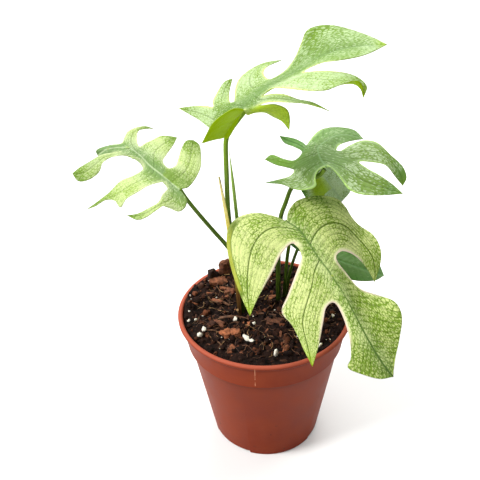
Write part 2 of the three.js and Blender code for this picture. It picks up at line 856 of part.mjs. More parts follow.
// Small chips lie half sunk in the top, spread evenly at random.
function scatterChips() {
  const draw = seededDraws(27);
  const chips = [];
  while (chips.length < BARK_CHIPS) {
    const radius = 47 * Math.sqrt(draw());
    const bearing = 2 * Math.PI * draw();
    const [x, y] = [radius * Math.cos(bearing), radius * Math.sin(bearing)];
    if (!nearStalk(x, y)) {
      const size = [5 + 5 * draw(), 2.5 + 2 * draw(), 2.6 + 1.4 * draw()];
      chips.push(barkPiece(size, Math.PI * draw()).translate(x, y, soilHeight(x, y)));
    }
  }
  return chips;
}

function makeSoil() {
  const lumps = scatterChips();
  for (const { at: [x, y], size, turn, lift = 0 } of BARK_PIECES) {
    lumps.push(barkPiece(size, turn).translate(x, y, soilHeight(x, y) + lift));
  }
  for (const [x, y, length, turn] of PERLITE) {
    lumps.push(perliteLump(length, turn).translate(x, y, soilHeight(x, y) + 0.3));
  }
  let soil = wasm.Manifold.union([soilBody(), ...lumps.map(toSolid)]);
  for (const { route, radii } of Object.values(STALKS)) {
    const hole = rootedRoute(route, STALK_DEPTH + GAP);
    soil = soil.subtract(toSolid(bentBar(hole, radii[0] + GAP, radii[1] + GAP)));
  }
  const sheathRoom = toSolid(makeSheath());
  return toGeometry(soil.subtract(sheathRoom));
}

// ---------------------------------------------------------------- assembly

const FINISHES = {
  terracotta: { color: 0xa5523c, roughness: 0.45 },
  potting_mix: { color: 0x2a1c14, roughness: 0.95 },
  netted_blade: { color: 0xc4d88a, roughness: 0.45 },
  green_blade: { color: 0x6d9a52, roughness: 0.42 },
  dark_blade: { color: 0x2f5a30, roughness: 0.4 },
  stalk: { color: 0x4f7a24, roughness: 0.4 },
  dry_sheath: { color: 0xd8c060, roughness: 0.7 },
};

const BLADE_FINISHES = {
  leaf_right: 'green_blade',
  leaf_under: 'green_blade',
  leaf_back: 'dark_blade',
};

const plant = new THREE.Group();

function place(name, geometry, finish) {
  const material = new THREE.MeshStandardMaterial({ ...FINISHES[finish], metalness: 0 });
  const mesh = new THREE.Mesh(geometry, material);
  mesh.name = name;
  plant.add(mesh);
}

place('pot', makePot(), 'terracotta');
place('soil', makeSoil(), 'potting_mix');
for (const [name, leaf] of Object.entries(LEAVES)) {
  place(name, makeBlade(leaf, BLADE), BLADE_FINISHES[name] ?? 'netted_blade');
}
for (const [name, stalk] of Object.entries(STALKS)) {
  place(name, makeStalk(stalk), 'stalk');
}
place('cataphyll', makeSheath(), 'dry_sheath');

export default plant;
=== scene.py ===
import math
import random
from collections import namedtuple
from functools import partial
from itertools import accumulate

import bmesh
import bpy
from mathutils import Matrix, Vector, kdtree, noise
from mathutils.geometry import interpolate_bezier


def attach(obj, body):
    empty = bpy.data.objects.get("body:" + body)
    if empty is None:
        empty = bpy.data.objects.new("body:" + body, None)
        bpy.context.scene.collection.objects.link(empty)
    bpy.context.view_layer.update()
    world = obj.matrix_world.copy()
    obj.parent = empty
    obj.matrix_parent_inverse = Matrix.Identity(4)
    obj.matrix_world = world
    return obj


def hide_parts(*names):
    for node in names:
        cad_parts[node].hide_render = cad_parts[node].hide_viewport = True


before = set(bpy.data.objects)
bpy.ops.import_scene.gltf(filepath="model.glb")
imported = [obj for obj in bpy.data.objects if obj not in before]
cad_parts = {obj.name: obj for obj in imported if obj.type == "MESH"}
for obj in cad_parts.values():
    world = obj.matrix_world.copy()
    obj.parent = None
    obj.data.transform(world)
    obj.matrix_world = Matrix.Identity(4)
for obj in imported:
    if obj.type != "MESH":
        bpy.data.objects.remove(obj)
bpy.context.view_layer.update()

# ---------------- studio
# The plant stands on a sheet of matt white paper that runs on past the view. One broad soft
# lamp lights it from the left, weak ones from behind and above, and the pale room fills in.

MM = 0.001


def linear(code):
    """A colour's sRGB hex code as linear red, green, blue and alpha."""
    channels = [int(code[i:i + 2], 16) / 255 for i in (1, 3, 5)]
    return (*(c / 12.92 if c <= 0.04045 else ((c + 0.055) / 1.055) ** 2.4 for c in channels), 1)


def add_node(tree, kind, inputs=(), output=0, stops=(), **settings):
    """Adds a node with its settings and its inputs, in order or by name, and gives one output."""
    made = tree.nodes.new(f"ShaderNode{kind}")
    for name, value in settings.items():
        setattr(made, name, value)
    for name, value in inputs.items() if isinstance(inputs, dict) else enumerate(inputs):
        if isinstance(value, bpy.types.NodeSocket):
            tree.links.new(value, made.inputs[name])
        else:
            made.inputs[name].default_value = value
    for _ in stops[2:]:
        made.color_ramp.elements.new(0.5)
    for place, (position, code) in enumerate(stops):
        made.color_ramp.elements[place].position = position
        made.color_ramp.elements[place].color = linear(code)
    return made.outputs[output] if made.outputs else None


def new_material(name):
    """An empty material, and the function that adds a node to it."""
    material = bpy.data.materials.new(name)
    material.use_nodes = True
    material.node_tree.nodes.clear()
    return material, partial(add_node, material.node_tree)


def add_piece(name, shape, materials, sharp_degrees=40):
    """An object from a bmesh in millimetres, smooth but for edges sharper than the angle."""
    bmesh.ops.scale(shape, vec=(MM,) * 3, verts=shape.verts)
    mesh = bpy.data.meshes.new(name)
    shape.to_mesh(mesh)
    shape.free()
    mesh.shade_smooth()
    mesh.set_sharp_from_angle(angle=math.radians(sharp_degrees))
    for material in materials:
        mesh.materials.append(material)
    piece = bpy.data.objects.new(name, mesh)
    bpy.context.scene.collection.objects.link(piece)
    return piece


EYE = Vector((0, -408.87, 429.3)) * MM
PITCH = math.radians(33.21)
YAW = math.radians(-2.12)
ROLL = math.radians(-2.1)

forward = Vector((math.sin(YAW) * math.cos(PITCH), math.cos(YAW) * math.cos(PITCH), -math.sin(PITCH)))
level = Vector((math.cos(YAW), -math.sin(YAW), 0))
upward = level.cross(forward)
right = level * math.cos(ROLL) + upward * math.sin(ROLL)
top = upward * math.cos(ROLL) - level * math.sin(ROLL)
lens = bpy.data.cameras.new("camera")
lens.lens = 56.25
lens.sensor_width = 36
lens.clip_start = 0.01
camera = bpy.data.objects.new("camera", lens)
camera.matrix_world = Matrix.Translation(EYE) @ Matrix((right, top, -forward)).transposed().to_4x4()
bpy.context.scene.collection.objects.link(camera)
bpy.context.scene.camera = camera
bpy.context.scene.view_settings.view_transform = "Standard"

# The room is bright on the left, where its window is, and dim on the right, and its walls are
# papered white behind the plant.
room = bpy.data.worlds.new("pale_room")
room.use_nodes = True
room.node_tree.nodes.clear()
side = add_node(room.node_tree, "SeparateXYZ", [add_node(room.node_tree, "TexCoord")])
glow = add_node(room.node_tree, "MapRange", [side, -1, 1, 0.9, 0.06])
seen = add_node(room.node_tree, "LightPath", output="Is Camera Ray")
glow = add_node(room.node_tree, "Math", [glow, seen], operation="MAXIMUM")
sky = add_node(room.node_tree, "Background", {"Color": linear("#ffffff"), "Strength": glow})
add_node(room.node_tree, "OutputWorld", {"Surface": sky})
bpy.context.scene.world = room

# Each lamp: its kind, where it stands in metres, its width (for the sun, the angle that it
# fills), and its power.
LAMPS = {
    "key_lamp": ("SUN", (-0.85, -0.3, 0.98), 0.4, 3.6),
    "back_lamp": ("AREA", (0.1, 0.9, 0.9), 0.7, 5),
    "upper_lamp": ("AREA", (0.35, 0.3, 1.1), 0.7, 10),
}
for name, (kind, place, width, power) in LAMPS.items():
    light = bpy.data.lights.new(name, kind)
    light.energy = power
    if kind == "SUN":
        light.angle = width
    else:
        light.size = width
    lamp = bpy.data.objects.new(name, light)
    lamp.location = place
    lamp.rotation_euler = (Vector((0, 0, 0.15)) - Vector(place)).to_track_quat("-Z", "Y").to_euler()
    bpy.context.scene.collection.objects.link(lamp)

# Matt paper, lit from below as on a light table: no shine that the eye can find.
FLOOR_REACH = 3000
paper, node = new_material("matt_white_paper")
node("OutputMaterial", [node("BsdfPrincipled", {
    "Base Color": linear("#e2e2e0"), "Roughness": 0.95,
    "Emission Color": linear("#ffffff"), "Emission Strength": 0.1,
})])
sheet = bmesh.new()
bmesh.ops.create_grid(sheet, x_segments=1, y_segments=1, size=FLOOR_REACH)
floor = add_piece("floor", sheet, [paper])

# ---------------- pot
# A thin nursery pot, injection moulded in brick-coloured polypropylene. It has a rolled lip
# over a collar band, a step to the tapered body, and drain notches in the edge of its base.

POT_HEIGHT = 104.5
LIP_RADIUS = 60
BASE_RADIUS = 38.7
COLLAR_FOOT_RADIUS = 54.5
COLLAR_HEIGHT = 22.9
COLLAR_STEP = 1.9
WALL = 1.4
FLOOR = 2
LIP_ROUND = 1.7
LIP_OVERHANG = 2.3
COLLAR_ROUND = 0.7
BASE_ROUND = 1.2
POT_STEPS = 160
NOTCH_ANGLES = (-43, 77, 197)
NOTCH_SPAN = 50
NOTCH_HEIGHT = 2.6
NOTCH_DEPTH = 4.5


def arc(radius, height, bend, start, end, steps):
    """Points of a profile round a bend, given by its middle, its radius and its two angles."""
    angles = (math.radians(start + (end - start) * i / steps) for i in range(steps + 1))
    return [(radius + bend * math.cos(a), height + bend * math.sin(a)) for a in angles]


def turn(shape, profile, angle=360, steps=POT_STEPS, start=0, closed=False):
    """Spins a profile of radius and height about the upright axis."""
    corner = Matrix.Rotation(math.radians(start), 3, "Z")
    verts = [shape.verts.new(corner @ Vector((radius, 0, height))) for radius, height in profile]
    edges = [shape.edges.new(pair) for pair in zip(verts, verts[1:])]
    faces = [shape.faces.new(verts)] if closed else []
    bmesh.ops.spin(shape, geom=verts + edges + faces, cent=(0, 0, 0), axis=(0, 0, 1),
                   angle=math.radians(angle), steps=steps, use_merge=angle == 360)
    bmesh.ops.remove_doubles(shape, verts=shape.verts, dist=1e-3)
    bmesh.ops.recalc_face_normals(shape, faces=shape.faces)


collar_foot = POT_HEIGHT - COLLAR_HEIGHT
collar_top = LIP_RADIUS - LIP_OVERHANG
pot_profile = [
    (0, 0),
    *arc(BASE_RADIUS - BASE_ROUND, BASE_ROUND, BASE_ROUND, -90, 8, 5),
    (COLLAR_FOOT_RADIUS - COLLAR_STEP - 0.1, collar_foot - 0.4),
    (COLLAR_FOOT_RADIUS - COLLAR_STEP + 0.3, collar_foot + 0.1),
    *arc(COLLAR_FOOT_RADIUS - COLLAR_ROUND, collar_foot + COLLAR_ROUND, COLLAR_ROUND, -80, 10, 4),
    (collar_top - 0.1, POT_HEIGHT - 4.8),
    (collar_top + 0.2, POT_HEIGHT - 3.9),
    *arc(LIP_RADIUS - LIP_ROUND, POT_HEIGHT - LIP_ROUND, LIP_ROUND, -50, 200, 14),
    (collar_top - WALL, POT_HEIGHT - 4.5),
    (COLLAR_FOOT_RADIUS - WALL, collar_foot + 1.5),
    (COLLAR_FOOT_RADIUS - COLLAR_STEP - WALL, collar_foot - 1.5),
    (BASE_RADIUS - WALL, FLOOR + 1.5),
    (BASE_RADIUS - WALL - 1.5, FLOOR),
    (0, FLOOR),
]
shell = bmesh.new()
turn(shell, pot_profile)

# The plastic is satin, with a faint mottle from the mould, a painted highlight on top of the lip,
# painted shade under the lip and the collar, a scuff down the front, and spots of dry mix low down.
terracotta, node = new_material("satin_polypropylene")
spot = node("TexCoord", output="Object")
across = node("SeparateXYZ", [spot])
depth, height = across.node.outputs["Y"], across.node.outputs["Z"]
mottle = node("TexNoise", {"Vector": spot, "Scale": 45, "Detail": 5, "Roughness": 0.6})
grain = node("TexNoise", {"Vector": spot, "Scale": 900, "Detail": 3, "Roughness": 0.6})
speck = node("TexNoise", {"Vector": spot, "Scale": 260, "Detail": 2, "Roughness": 0.7})
colour = node("ValToRGB", [mottle], stops=((0.3, "#722914"), (0.7, "#7e331a")))
# Painted shade: a dark band just under the collar's step, and another under the lip's overhang.
painted_shade_under_rims = node("ValToRGB", [node("MapRange", [height, 0.07, 0.105])], stops=(
    (0.09, "#000000"), (0.21, "#606060"), (0.265, "#b4b4b4"), (0.32, "#b4b4b4"), (0.33, "#000000"),
    (0.79, "#000000"), (0.84, "#a8a8a8"), (0.91, "#a8a8a8"), (0.96, "#000000"),
))
# Painted highlight: the top of the lip is paler, where the light catches it.
painted_lip_highlight = node("MapRange", [height, 0.1026, 0.1042, 0, 0.65])
scuff = node("Math", [across, -0.0067, 0.00025], operation="COMPARE")
band = node("Math", [height, 0.0935, 0.0098], operation="COMPARE")
scuff = node("Math", [scuff, band], operation="MULTIPLY")
front = node("Math", [depth, 0], operation="LESS_THAN")
scuff = node("Math", [scuff, front], operation="MULTIPLY")
worn = node("MapRange", [speck, 0.4, 0.55, 0, 0.6])
worn = node("Math", [scuff, worn], operation="MULTIPLY")
low = node("MapRange", [height, 0.05, 0.002, 0, 1])
wanted = node("Math", [speck, node("Math", [low, 0.07], operation="MULTIPLY")], operation="ADD")
spots = node("MapRange", [wanted, 0.735, 0.765, 0, 0.8])
for share, code in ((painted_shade_under_rims, "#48150c"), (painted_lip_highlight, "#b55e48"), (worn, "#d99a78"), (spots, "#3a2018")):
    colour = node("Mix", {0: share, 6: colour, 7: linear(code)}, 2, data_type="RGBA")
node("OutputMaterial", [node("BsdfPrincipled", {
    "Base Color": colour,
    "Roughness": node("MapRange", [mottle, 0.3, 0.7, 0.42, 0.52]),
    "IOR": 1.49,
    "Specular IOR Level": 0.06,
    "Normal": node("Bump", {"Height": grain, "Strength": 0.12, "Distance": 0.0002}),
})])

pot = add_piece("nursery_pot", shell, [terracotta])
cutters = []
for degrees in NOTCH_ANGLES:
    block = bmesh.new()
    section = [
        (BASE_RADIUS - NOTCH_DEPTH, -1), (BASE_RADIUS + 2, -1),
        (BASE_RADIUS + 2, NOTCH_HEIGHT), (BASE_RADIUS - NOTCH_DEPTH, NOTCH_HEIGHT),
    ]
    turn(block, section, angle=NOTCH_SPAN, steps=24, start=degrees - NOTCH_SPAN / 2 - 90, closed=True)
    cutter = add_piece(f"notch_{degrees}", block, [])
    cutters.append(cutter)
    cut = pot.modifiers.new(cutter.name, "BOOLEAN")
    cut.operation = "DIFFERENCE"
    cut.solver = "EXACT"
    cut.object = cutter
solved = bpy.data.meshes.new_from_object(pot.evaluated_get(bpy.context.evaluated_depsgraph_get()))
pot.modifiers.clear()
pot.data = solved
solved.shade_smooth()
solved.set_sharp_from_angle(angle=math.radians(35))
for cutter in cutters:
    bpy.data.objects.remove(cutter)
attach(pot, "root")
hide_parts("pot")

# ---------------- potting mix
# Moist, dark peat crumb that fills the pot, heaped up at the back on the left. It is loose:
# crumbs, chips of bark, roots and perlite lie on it and stand half out of it.

SOIL_LEVEL = 100
SOIL_HEAP = 5
SOIL_CLEARANCE = 0.3
SOIL_RINGS = 84
SOIL_STEPS = 300


def smoothstep(value, low, high):
    """0 below low, 1 above high, and a smooth rise between."""
    t = min(max((value - low) / (high - low), 0), 1)
    return t * t * (3 - 2 * t)


def soil_height(x, y):
    """How high the mix stands at a point, without its crumb."""
    return (SOIL_LEVEL
            + SOIL_HEAP * smoothstep(0.8 * y - 0.6 * x, 10, 55)
            + 0.9 * math.sin(x / 9 + y / 14)
            + 0.7 * math.sin(y / 6 - x / 11 + 1)
            + 0.5 * math.sin(x / 4.1 + 2) * math.cos(y / 4.6))


def crumb_height(x, y):
    """The lumps and pits of the loose crumb, which is banked up a little against the pot."""
    lumps = noise.fractal(Vector((x, y, 0)) / 4.5, 0.7, 2.1, 5)
    brim = 1.6 * smoothstep(math.hypot(x, y), 36, 54)
    return brim + 1.6 * lumps + 0.6 * noise.noise(Vector((x, y, 7)) / 1.3)


edge_radius = collar_top - WALL - 2 * SOIL_CLEARANCE
soil_profile = [
    (0, FLOOR + SOIL_CLEARANCE),
    (BASE_RADIUS - WALL - 1.5 - SOIL_CLEARANCE, FLOOR + SOIL_CLEARANCE),
    (BASE_RADIUS - WALL - SOIL_CLEARANCE, FLOOR + 1.5 + SOIL_CLEARANCE),
    (COLLAR_FOOT_RADIUS - COLLAR_STEP - WALL - SOIL_CLEARANCE, collar_foot - 1.5),
    (COLLAR_FOOT_RADIUS - WALL - SOIL_CLEARANCE, collar_foot + 1.5),
    *((edge_radius * ring / SOIL_RINGS, 2 * POT_HEIGHT) for ring in range(SOIL_RINGS, -1, -1)),
]
mix = bmesh.new()
turn(mix, soil_profile, steps=SOIL_STEPS)
for vert in mix.verts:
    if vert.co.z > POT_HEIGHT:
        x, y, _ = vert.co
        vert.co.z = soil_height(x, y) + crumb_height(x, y)

# Peat and coir: near black where it is wet and deep, rusty where a crumb dries.
peat, node = new_material("moist_peat")
spot = node("TexCoord", output="Object")
dry = node("Attribute", output="Fac", attribute_name="tone")
patch = node("TexNoise", {"Vector": spot, "Scale": 110, "Detail": 6, "Roughness": 0.75})
grit = node("TexNoise", {"Vector": spot, "Scale": 700, "Detail": 4, "Roughness": 0.8})
colour = node("ValToRGB", [patch], stops=((0.38, "#080403"), (0.72, "#2c170e")))
flecks = node("MapRange", [grit, 0.62, 0.7, 0, 0.8])
for share, code in ((dry, "#6e3f28"), (flecks, "#7c4c34")):
    colour = node("Mix", {0: share, 6: colour, 7: linear(code)}, 2, data_type="RGBA")
node("OutputMaterial", [node("BsdfPrincipled", {
    "Base Color": colour,
    "Roughness": 0.8,
    "IOR": 1.4,
    "Specular IOR Level": 0.2,
    "Normal": node("Bump", {"Height": grit, "Strength": 1, "Distance": 0.0008}),
})])
soil = add_piece("potting_mix", mix, [peat], sharp_degrees=80)
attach(soil, "root")
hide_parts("soil")

# ---------------- crumbs of the mix
# Crumbs of peat from 1 to 5 mm across, pressed together as the pot was filled, which lie
# loose over the top of the mix.

CRUMBS = 1200

# Where the stalks and the sheath stand in the mix, and the room that loose pieces leave them.
STALK_FEET = ((-15, 4), (-17, 10), (10, 13), (14, 18), (34, 22), (16, 23), (-13, 8), (-17, -1))
STALK_ROOM = 4.5


def roughen(verts, depth, size, seed):
    """Moves points in and out from their middle, by a noise of the given size."""
    middle = sum((vert.co for vert in verts), Vector()) / len(verts)
    for vert in verts:
        outward = (vert.co - middle).normalized()
        vert.co += outward * depth * noise.noise(vert.co / size + Vector((seed, 0, 0)))


def set_values(verts, layer, value):
    """Writes one value for all the points of a lump."""
    for vert in verts:
        vert[layer] = value


def place_lump(shape, verts, size, tilt, x, y, sunk):
    """Sizes, turns and lays a lump on the mix, sunk by a share of its height."""
    bmesh.ops.scale(shape, vec=size, verts=verts)
    bmesh.ops.rotate(shape, matrix=tilt, verts=verts)
    lift = soil_height(x, y) + crumb_height(x, y) + size[2] * (0.5 - sunk)
    bmesh.ops.translate(shape, vec=(x, y, lift), verts=verts)


def any_tilt(draw, steep):
    """A turn to any bearing, with a lean up to the given angle."""
    lean = Matrix.Rotation(draw.uniform(-steep, steep), 3, "X")
    lean = lean @ Matrix.Rotation(draw.uniform(-steep, steep), 3, "Y")
    return Matrix.Rotation(draw.uniform(0, math.tau), 3, "Z") @ lean


def any_place(draw, reach):
    """A place on the mix, evenly spread, clear of the stalks."""
    while True:
        radius = reach * math.sqrt(draw.random())
        bearing = draw.uniform(0, math.tau)
        x, y = radius * math.cos(bearing), radius * math.sin(bearing)
        if all(math.hypot(x - a, y - b) > STALK_ROOM for a, b in STALK_FEET):
            return x, y


draw = random.Random(11)
crumb_shape = bmesh.new()
dry_layer = crumb_shape.verts.layers.float.new("tone")
for _ in range(CRUMBS):
    x, y = any_place(draw, edge_radius - 1)
    width = 1.1 + 3.6 * draw.random() ** 3
    verts = bmesh.ops.create_icosphere(crumb_shape, subdivisions=2 if width > 2 else 1, radius=0.5)["verts"]
    roughen(verts, 0.5, 0.6, draw.uniform(0, 90))
    set_values(verts, dry_layer, draw.random() ** 5)
    size = (width, width * draw.uniform(0.6, 1), width * draw.uniform(0.5, 0.9))
    place_lump(crumb_shape, verts, size, any_tilt(draw, 0.5), x, y, 0.3)
crumbs = add_piece("peat_crumbs", crumb_shape, [peat], sharp_degrees=60)
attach(crumbs, "root")

# ---------------- bark
# Chips of composted pine bark, split along the grain, from dark brown to orange. Some stand
# on end in the heap at the back, and a knot of orange bark lies at the front on the left.

# Each marked piece: where it lies, its size, its turn, how far it is sunk, and its tone from
# 0, dark, to 1, orange.
BARK_PIECES = (
    ((-28.5, 41.5), (8, 5, 14), 0.5, 0.22, 0.5),
    ((-38.3, 34.2), (6, 4.5, 13), 0.9, 0.22, 0.05),
    ((-21, 45), (7, 4, 6), 0.1, 0.5, 0.4),
    ((-45, 23.5), (5, 4, 6), 1.3, 0.5, 0.2),
    ((-34, 31), (12, 7, 6), 0.2, 0.4, 0.62),
    ((-20, -22), (7, 6, 5), 0.15, 0.4, 0.85),
    ((-26, -23), (7, 6, 5.5), 0.8, 0.4, 1.0),
    ((-31, -12), (9, 4, 3.4), -0.6, 0.4, 0.5),
    ((7, -8), (11, 6, 3), -0.1, 0.4, 0.35),
    ((14, -37), (6, 3, 4), 0.9, 0.4, 0.7),
    ((-35, 12), (12, 3, 2.4), -0.35, 0.3, 0.6),
    ((-25, 22), (7, 4, 3), 0.4, 0.4, 0.5),
)
BARK_CHIPS = 130


def bark_chip(shape, layer, size, tilt, x, y, sunk, tone, seed):
    """A split chip: a ball pressed almost to a block, with uneven faces and worn corners."""
    verts = bmesh.ops.create_icosphere(shape, subdivisions=3 if max(size) > 6 else 2, radius=0.5)["verts"]
    for vert in verts:
        block = vert.co * 0.5 / max(map(abs, vert.co))
        vert.co = vert.co.lerp(block, 0.8)
    roughen(verts, 0.3, 0.5, seed)
    roughen(verts, 0.14, 0.18, seed)
    set_values(verts, layer, tone)
    place_lump(shape, verts, size, tilt, x, y, sunk)


draw = random.Random(5)
bark_shape = bmesh.new()
tone_layer = bark_shape.verts.layers.float.new("tone")
for (x, y), size, bearing, sunk, tone in BARK_PIECES:
    lean = Matrix.Rotation(bearing, 3, "Z") @ Matrix.Rotation(0.15, 3, "X")
    bark_chip(bark_shape, tone_layer, size, lean, x, y, sunk, tone, draw.uniform(0, 90))
for _ in range(BARK_CHIPS):
    x, y = any_place(draw, edge_radius - 4)
    length = 2 + 5.5 * draw.random() ** 2
    size = (length, length * draw.uniform(0.25, 0.5), length * draw.uniform(0.2, 0.35))
    tone = draw.random() ** 1.8
    bark_chip(bark_shape, tone_layer, size, any_tilt(draw, 0.45), x, y, 0.35, tone, draw.uniform(0, 90))

# Split bark: dull, and dusted with peat in flecks about 2 mm apart.
pine_bark, node = new_material("split_pine_bark")
spot = node("TexCoord", output="Object")
tone = node("Attribute", output="Fac", attribute_name="tone")
fleck = node("TexNoise", {"Vector": spot, "Scale": 420, "Detail": 5, "Roughness": 0.7})
tint = node("ValToRGB", [tone], stops=((0, "#20120d"), (0.5, "#6b412c"), (1, "#a4623f")))
shade = node("MapRange", [fleck, 0.35, 0.65, 0.3, 1.5])
node("OutputMaterial", [node("BsdfPrincipled", {
    "Base Color": node("Mix", {0: 1, 6: tint, 7: shade}, 2, data_type="RGBA", blend_type="MULTIPLY"),
    "Roughness": 0.8,
    "IOR": 1.45,
    "Specular IOR Level": 0.3,
    "Normal": node("Bump", {"Height": fleck, "Strength": 0.8, "Distance": 0.0005}),
})])
bark = add_piece("bark_chips", bark_shape, [pine_bark], sharp_degrees=50)
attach(bark, "root")

# ---------------- perlite
# Perlite is glass that was popped by heat: white, light, full of holes, and rounded by
# rubbing. The marked lumps lie where the mix is bare, and small ones everywhere.

# Each lump: where it lies, its size, and its turn.
PERLITE = (
    (-40.6, -1.5, (3.6, 2.4, 2.4), 1.2), (-52.4, 12.8, (2.6, 1.6, 1.6), 0.3),
    (-47.4, -8, (2.4, 1.6, 1.6), 0.4), (-52, -9, (2.6, 1.6, 1.6), 0.9), (-20, -8.3, (3, 2.6, 3.4), 1.3),
    (-43.5, -25, (4.6, 3, 3), 0.5), (-41, -20, (4.6, 3, 3), 1.8), (-12.8, -26, (6.4, 3.2, 3.4), 2.2),
    (-8.5, -31, (4.8, 3.2, 3), 2.8), (7, -44, (2.8, 2.4, 6), 0.4), (-7.2, -9.5, (3, 1.8, 2), 0.1),
    (36, -36, (3.6, 2, 2), 0.7), (47, -6, (3, 2, 2), 2), (42, 30, (3.8, 2.2, 2.2), 1.1),
    (8, 46, (3.2, 2, 2), 0.2), (-6, 28, (3, 2, 2), 1.9),
)
PERLITE_GRAINS = 70

draw = random.Random(3)
perlite_shape = bmesh.new()
grains = []
for _ in range(PERLITE_GRAINS):
    length = 0.6 + 1.5 * draw.random() ** 3
    grains.append((*any_place(draw, edge_radius - 3), (length, 0.7 * length, 0.6 * length), 0))
for x, y, size, bearing in (*PERLITE, *grains):
    verts = bmesh.ops.create_icosphere(perlite_shape, subdivisions=2, radius=0.5)["verts"]
    roughen(verts, 0.28, 0.5, draw.uniform(0, 90))
    roughen(verts, 0.12, 0.2, draw.uniform(0, 90))
    place_lump(perlite_shape, verts, size, Matrix.Rotation(bearing, 3, "Z"), x, y, 0.15)

# Popped glass: chalk white, stained a little by the peat, and pitted.
popped, node = new_material("popped_perlite")
spot = node("TexCoord", output="Object")
pits = node("TexNoise", {"Vector": spot, "Scale": 900, "Detail": 4, "Roughness": 0.7})
node("OutputMaterial", [node("BsdfPrincipled", {
    "Base Color": node("ValToRGB", [pits], stops=((0.26, "#a08c6c"), (0.46, "#ebe5d4"))),
    "Roughness": 0.9,
    "IOR": 1.5,
    "Normal": node("Bump", {"Height": pits, "Strength": 0.6, "Distance": 0.0004}),
})])
perlite = add_piece("perlite_lumps", perlite_shape, [popped], sharp_degrees=60)
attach(perlite, "root")

# ---------------- fibres and twigs
# Coir fibres and dead roots, thin as thread, and three dry twigs lie tangled on top of the
# mix. A dry stub and a small pale sprout stand up among them.

FIBRES = 240
FIBRE_STEP = 2.6
STRAND_STEPS = 8
STRAND_SIDES = 6
SPAN_POINTS = 24

# Each marked strand: its knots as place and height above the mix, its radii, and its tone
# from 0, dark, to 1, straw.
STRANDS = (
    (((-34, 10, 0.6), (-30, 11, 1.5), (-25, 10, 1)), (1.3, 0.8), 0.45),
    (((-31, -6, 0.5), (-24, -6.5, 1.6), (-17, -5, 1.5), (-11, -6, 0.8)), (1.1, 0.5), 0.4),
    (((-12, -3, 0.8), (-2, -1, 1.4), (8, -3, 1)), (0.8, 0.5), 0.35),
    (((-17, 2, 0), (-18, -1, 4), (-18.5, -4, 7)), (1.2, 0.9), 0.9),
    (((0.6, 13, -1), (1, 13, 3), (2.5, 12.5, 5)), (1, 0.5), 1.0),
)


def smooth_spans(knots):
    """A smooth curve through knots: a list of points for each stretch between two of them."""
    knots = [Vector(knot) for knot in knots]
    padded = [2 * knots[0] - knots[1], *knots, 2 * knots[-1] - knots[-2]]
    return [interpolate_bezier(b, b + (c - a) / 6, c - (d - b) / 6, c, SPAN_POINTS)
            for a, b, c, d in zip(padded, padded[1:], padded[2:], padded[3:])]


def lengths_along(points):
    """How far each point of a route lies from its start."""
    return list(accumulate(((b - a).length for a, b in zip(points, points[1:])), initial=0))


def even_points(spans, count):
    """Points that part some stretches of a curve into pieces of the same length."""
    line = [spans[0][0], *(point for span in spans for point in span[1:])]
    ends = lengths_along(line)
    points = []
    at = 0
    for i in range(count + 1):
        wanted = ends[-1] * i / count
        while at < len(line) - 2 and ends[at + 1] < wanted:
            at += 1
        points.append(line[at].lerp(line[at + 1], (wanted - ends[at]) / (ends[at + 1] - ends[at])))
    return points


def carried_sides(points):
    """Two directions across a route at each point, which turn only as the route bends."""
    aheads = [(points[min(i + 1, len(points) - 1)] - points[max(i - 1, 0)]).normalized()
              for i in range(len(points))]
    side = aheads[0].orthogonal().normalized()
    sides = []
    for before, ahead in zip([aheads[0], *aheads], aheads):
        side = before.rotation_difference(ahead) @ side
        sides.append((side, ahead.cross(side)))
    return sides


def add_tube(shape, points, radius_at, sides):
    """A round bar along a route: a grid, rolled up, with its size in mm as its UV map."""
    flow = shape.loops.layers.uv.get("flow") or shape.loops.layers.uv.new("flow")
    steps = len(points) - 1
    verts = bmesh.ops.create_grid(shape, x_segments=sides, y_segments=steps, size=0.5)["verts"]
    across = carried_sides(points)
    lengths = lengths_along(points)
    for face in {face for vert in verts for face in vert.link_faces}:
        for loop in face.loops:
            step = round((loop.vert.co.y + 0.5) * steps)
            loop[flow].uv = (math.tau * radius_at(step / steps) * loop.vert.co.x, lengths[step])
    for vert in verts:
        bearing = math.tau * vert.co.x
        step = round((vert.co.y + 0.5) * steps)
        side, up = across[step]
        out = side * math.cos(bearing) + up * math.sin(bearing)
        vert.co = points[step] + out * radius_at(step / steps)
    bmesh.ops.remove_doubles(shape, verts=verts, dist=1e-3)
    verts = [vert for vert in verts if vert.is_valid]
    open_edges = list({edge for vert in verts for edge in vert.link_edges if edge.is_boundary})
    bmesh.ops.holes_fill(shape, edges=open_edges, sides=sides)
    return verts


draw = random.Random(19)
strand_shape = bmesh.new()
strand_layer = strand_shape.verts.layers.float.new("tone")
strands = list(STRANDS)
for _ in range(FIBRES):
    x, y = any_place(draw, edge_radius - 6)
    bearing = draw.uniform(0, math.tau)
    knots = []
    for _ in range(4):
        knots.append((x, y, draw.uniform(0.2, 1.6)))
        bearing += draw.uniform(-0.9, 0.9)
        x += FIBRE_STEP * math.cos(bearing)
        y += FIBRE_STEP * math.sin(bearing)
    if math.hypot(x, y) < edge_radius - 2:
        radius = draw.uniform(0.1, 0.28)
        strands.append((knots, (radius, radius * 0.6), draw.random() ** 0.8))
for knots, (thick, thin), tone in strands:
    route = [(x, y, soil_height(x, y) + crumb_height(x, y) + lift) for x, y, lift in knots]
    points = even_points(smooth_spans(route), STRAND_STEPS)
    verts = add_tube(strand_shape, points, lambda share: thick + (thin - thick) * share, STRAND_SIDES)
    set_values(verts, strand_layer, tone)
bmesh.ops.recalc_face_normals(strand_shape, faces=strand_shape.faces)

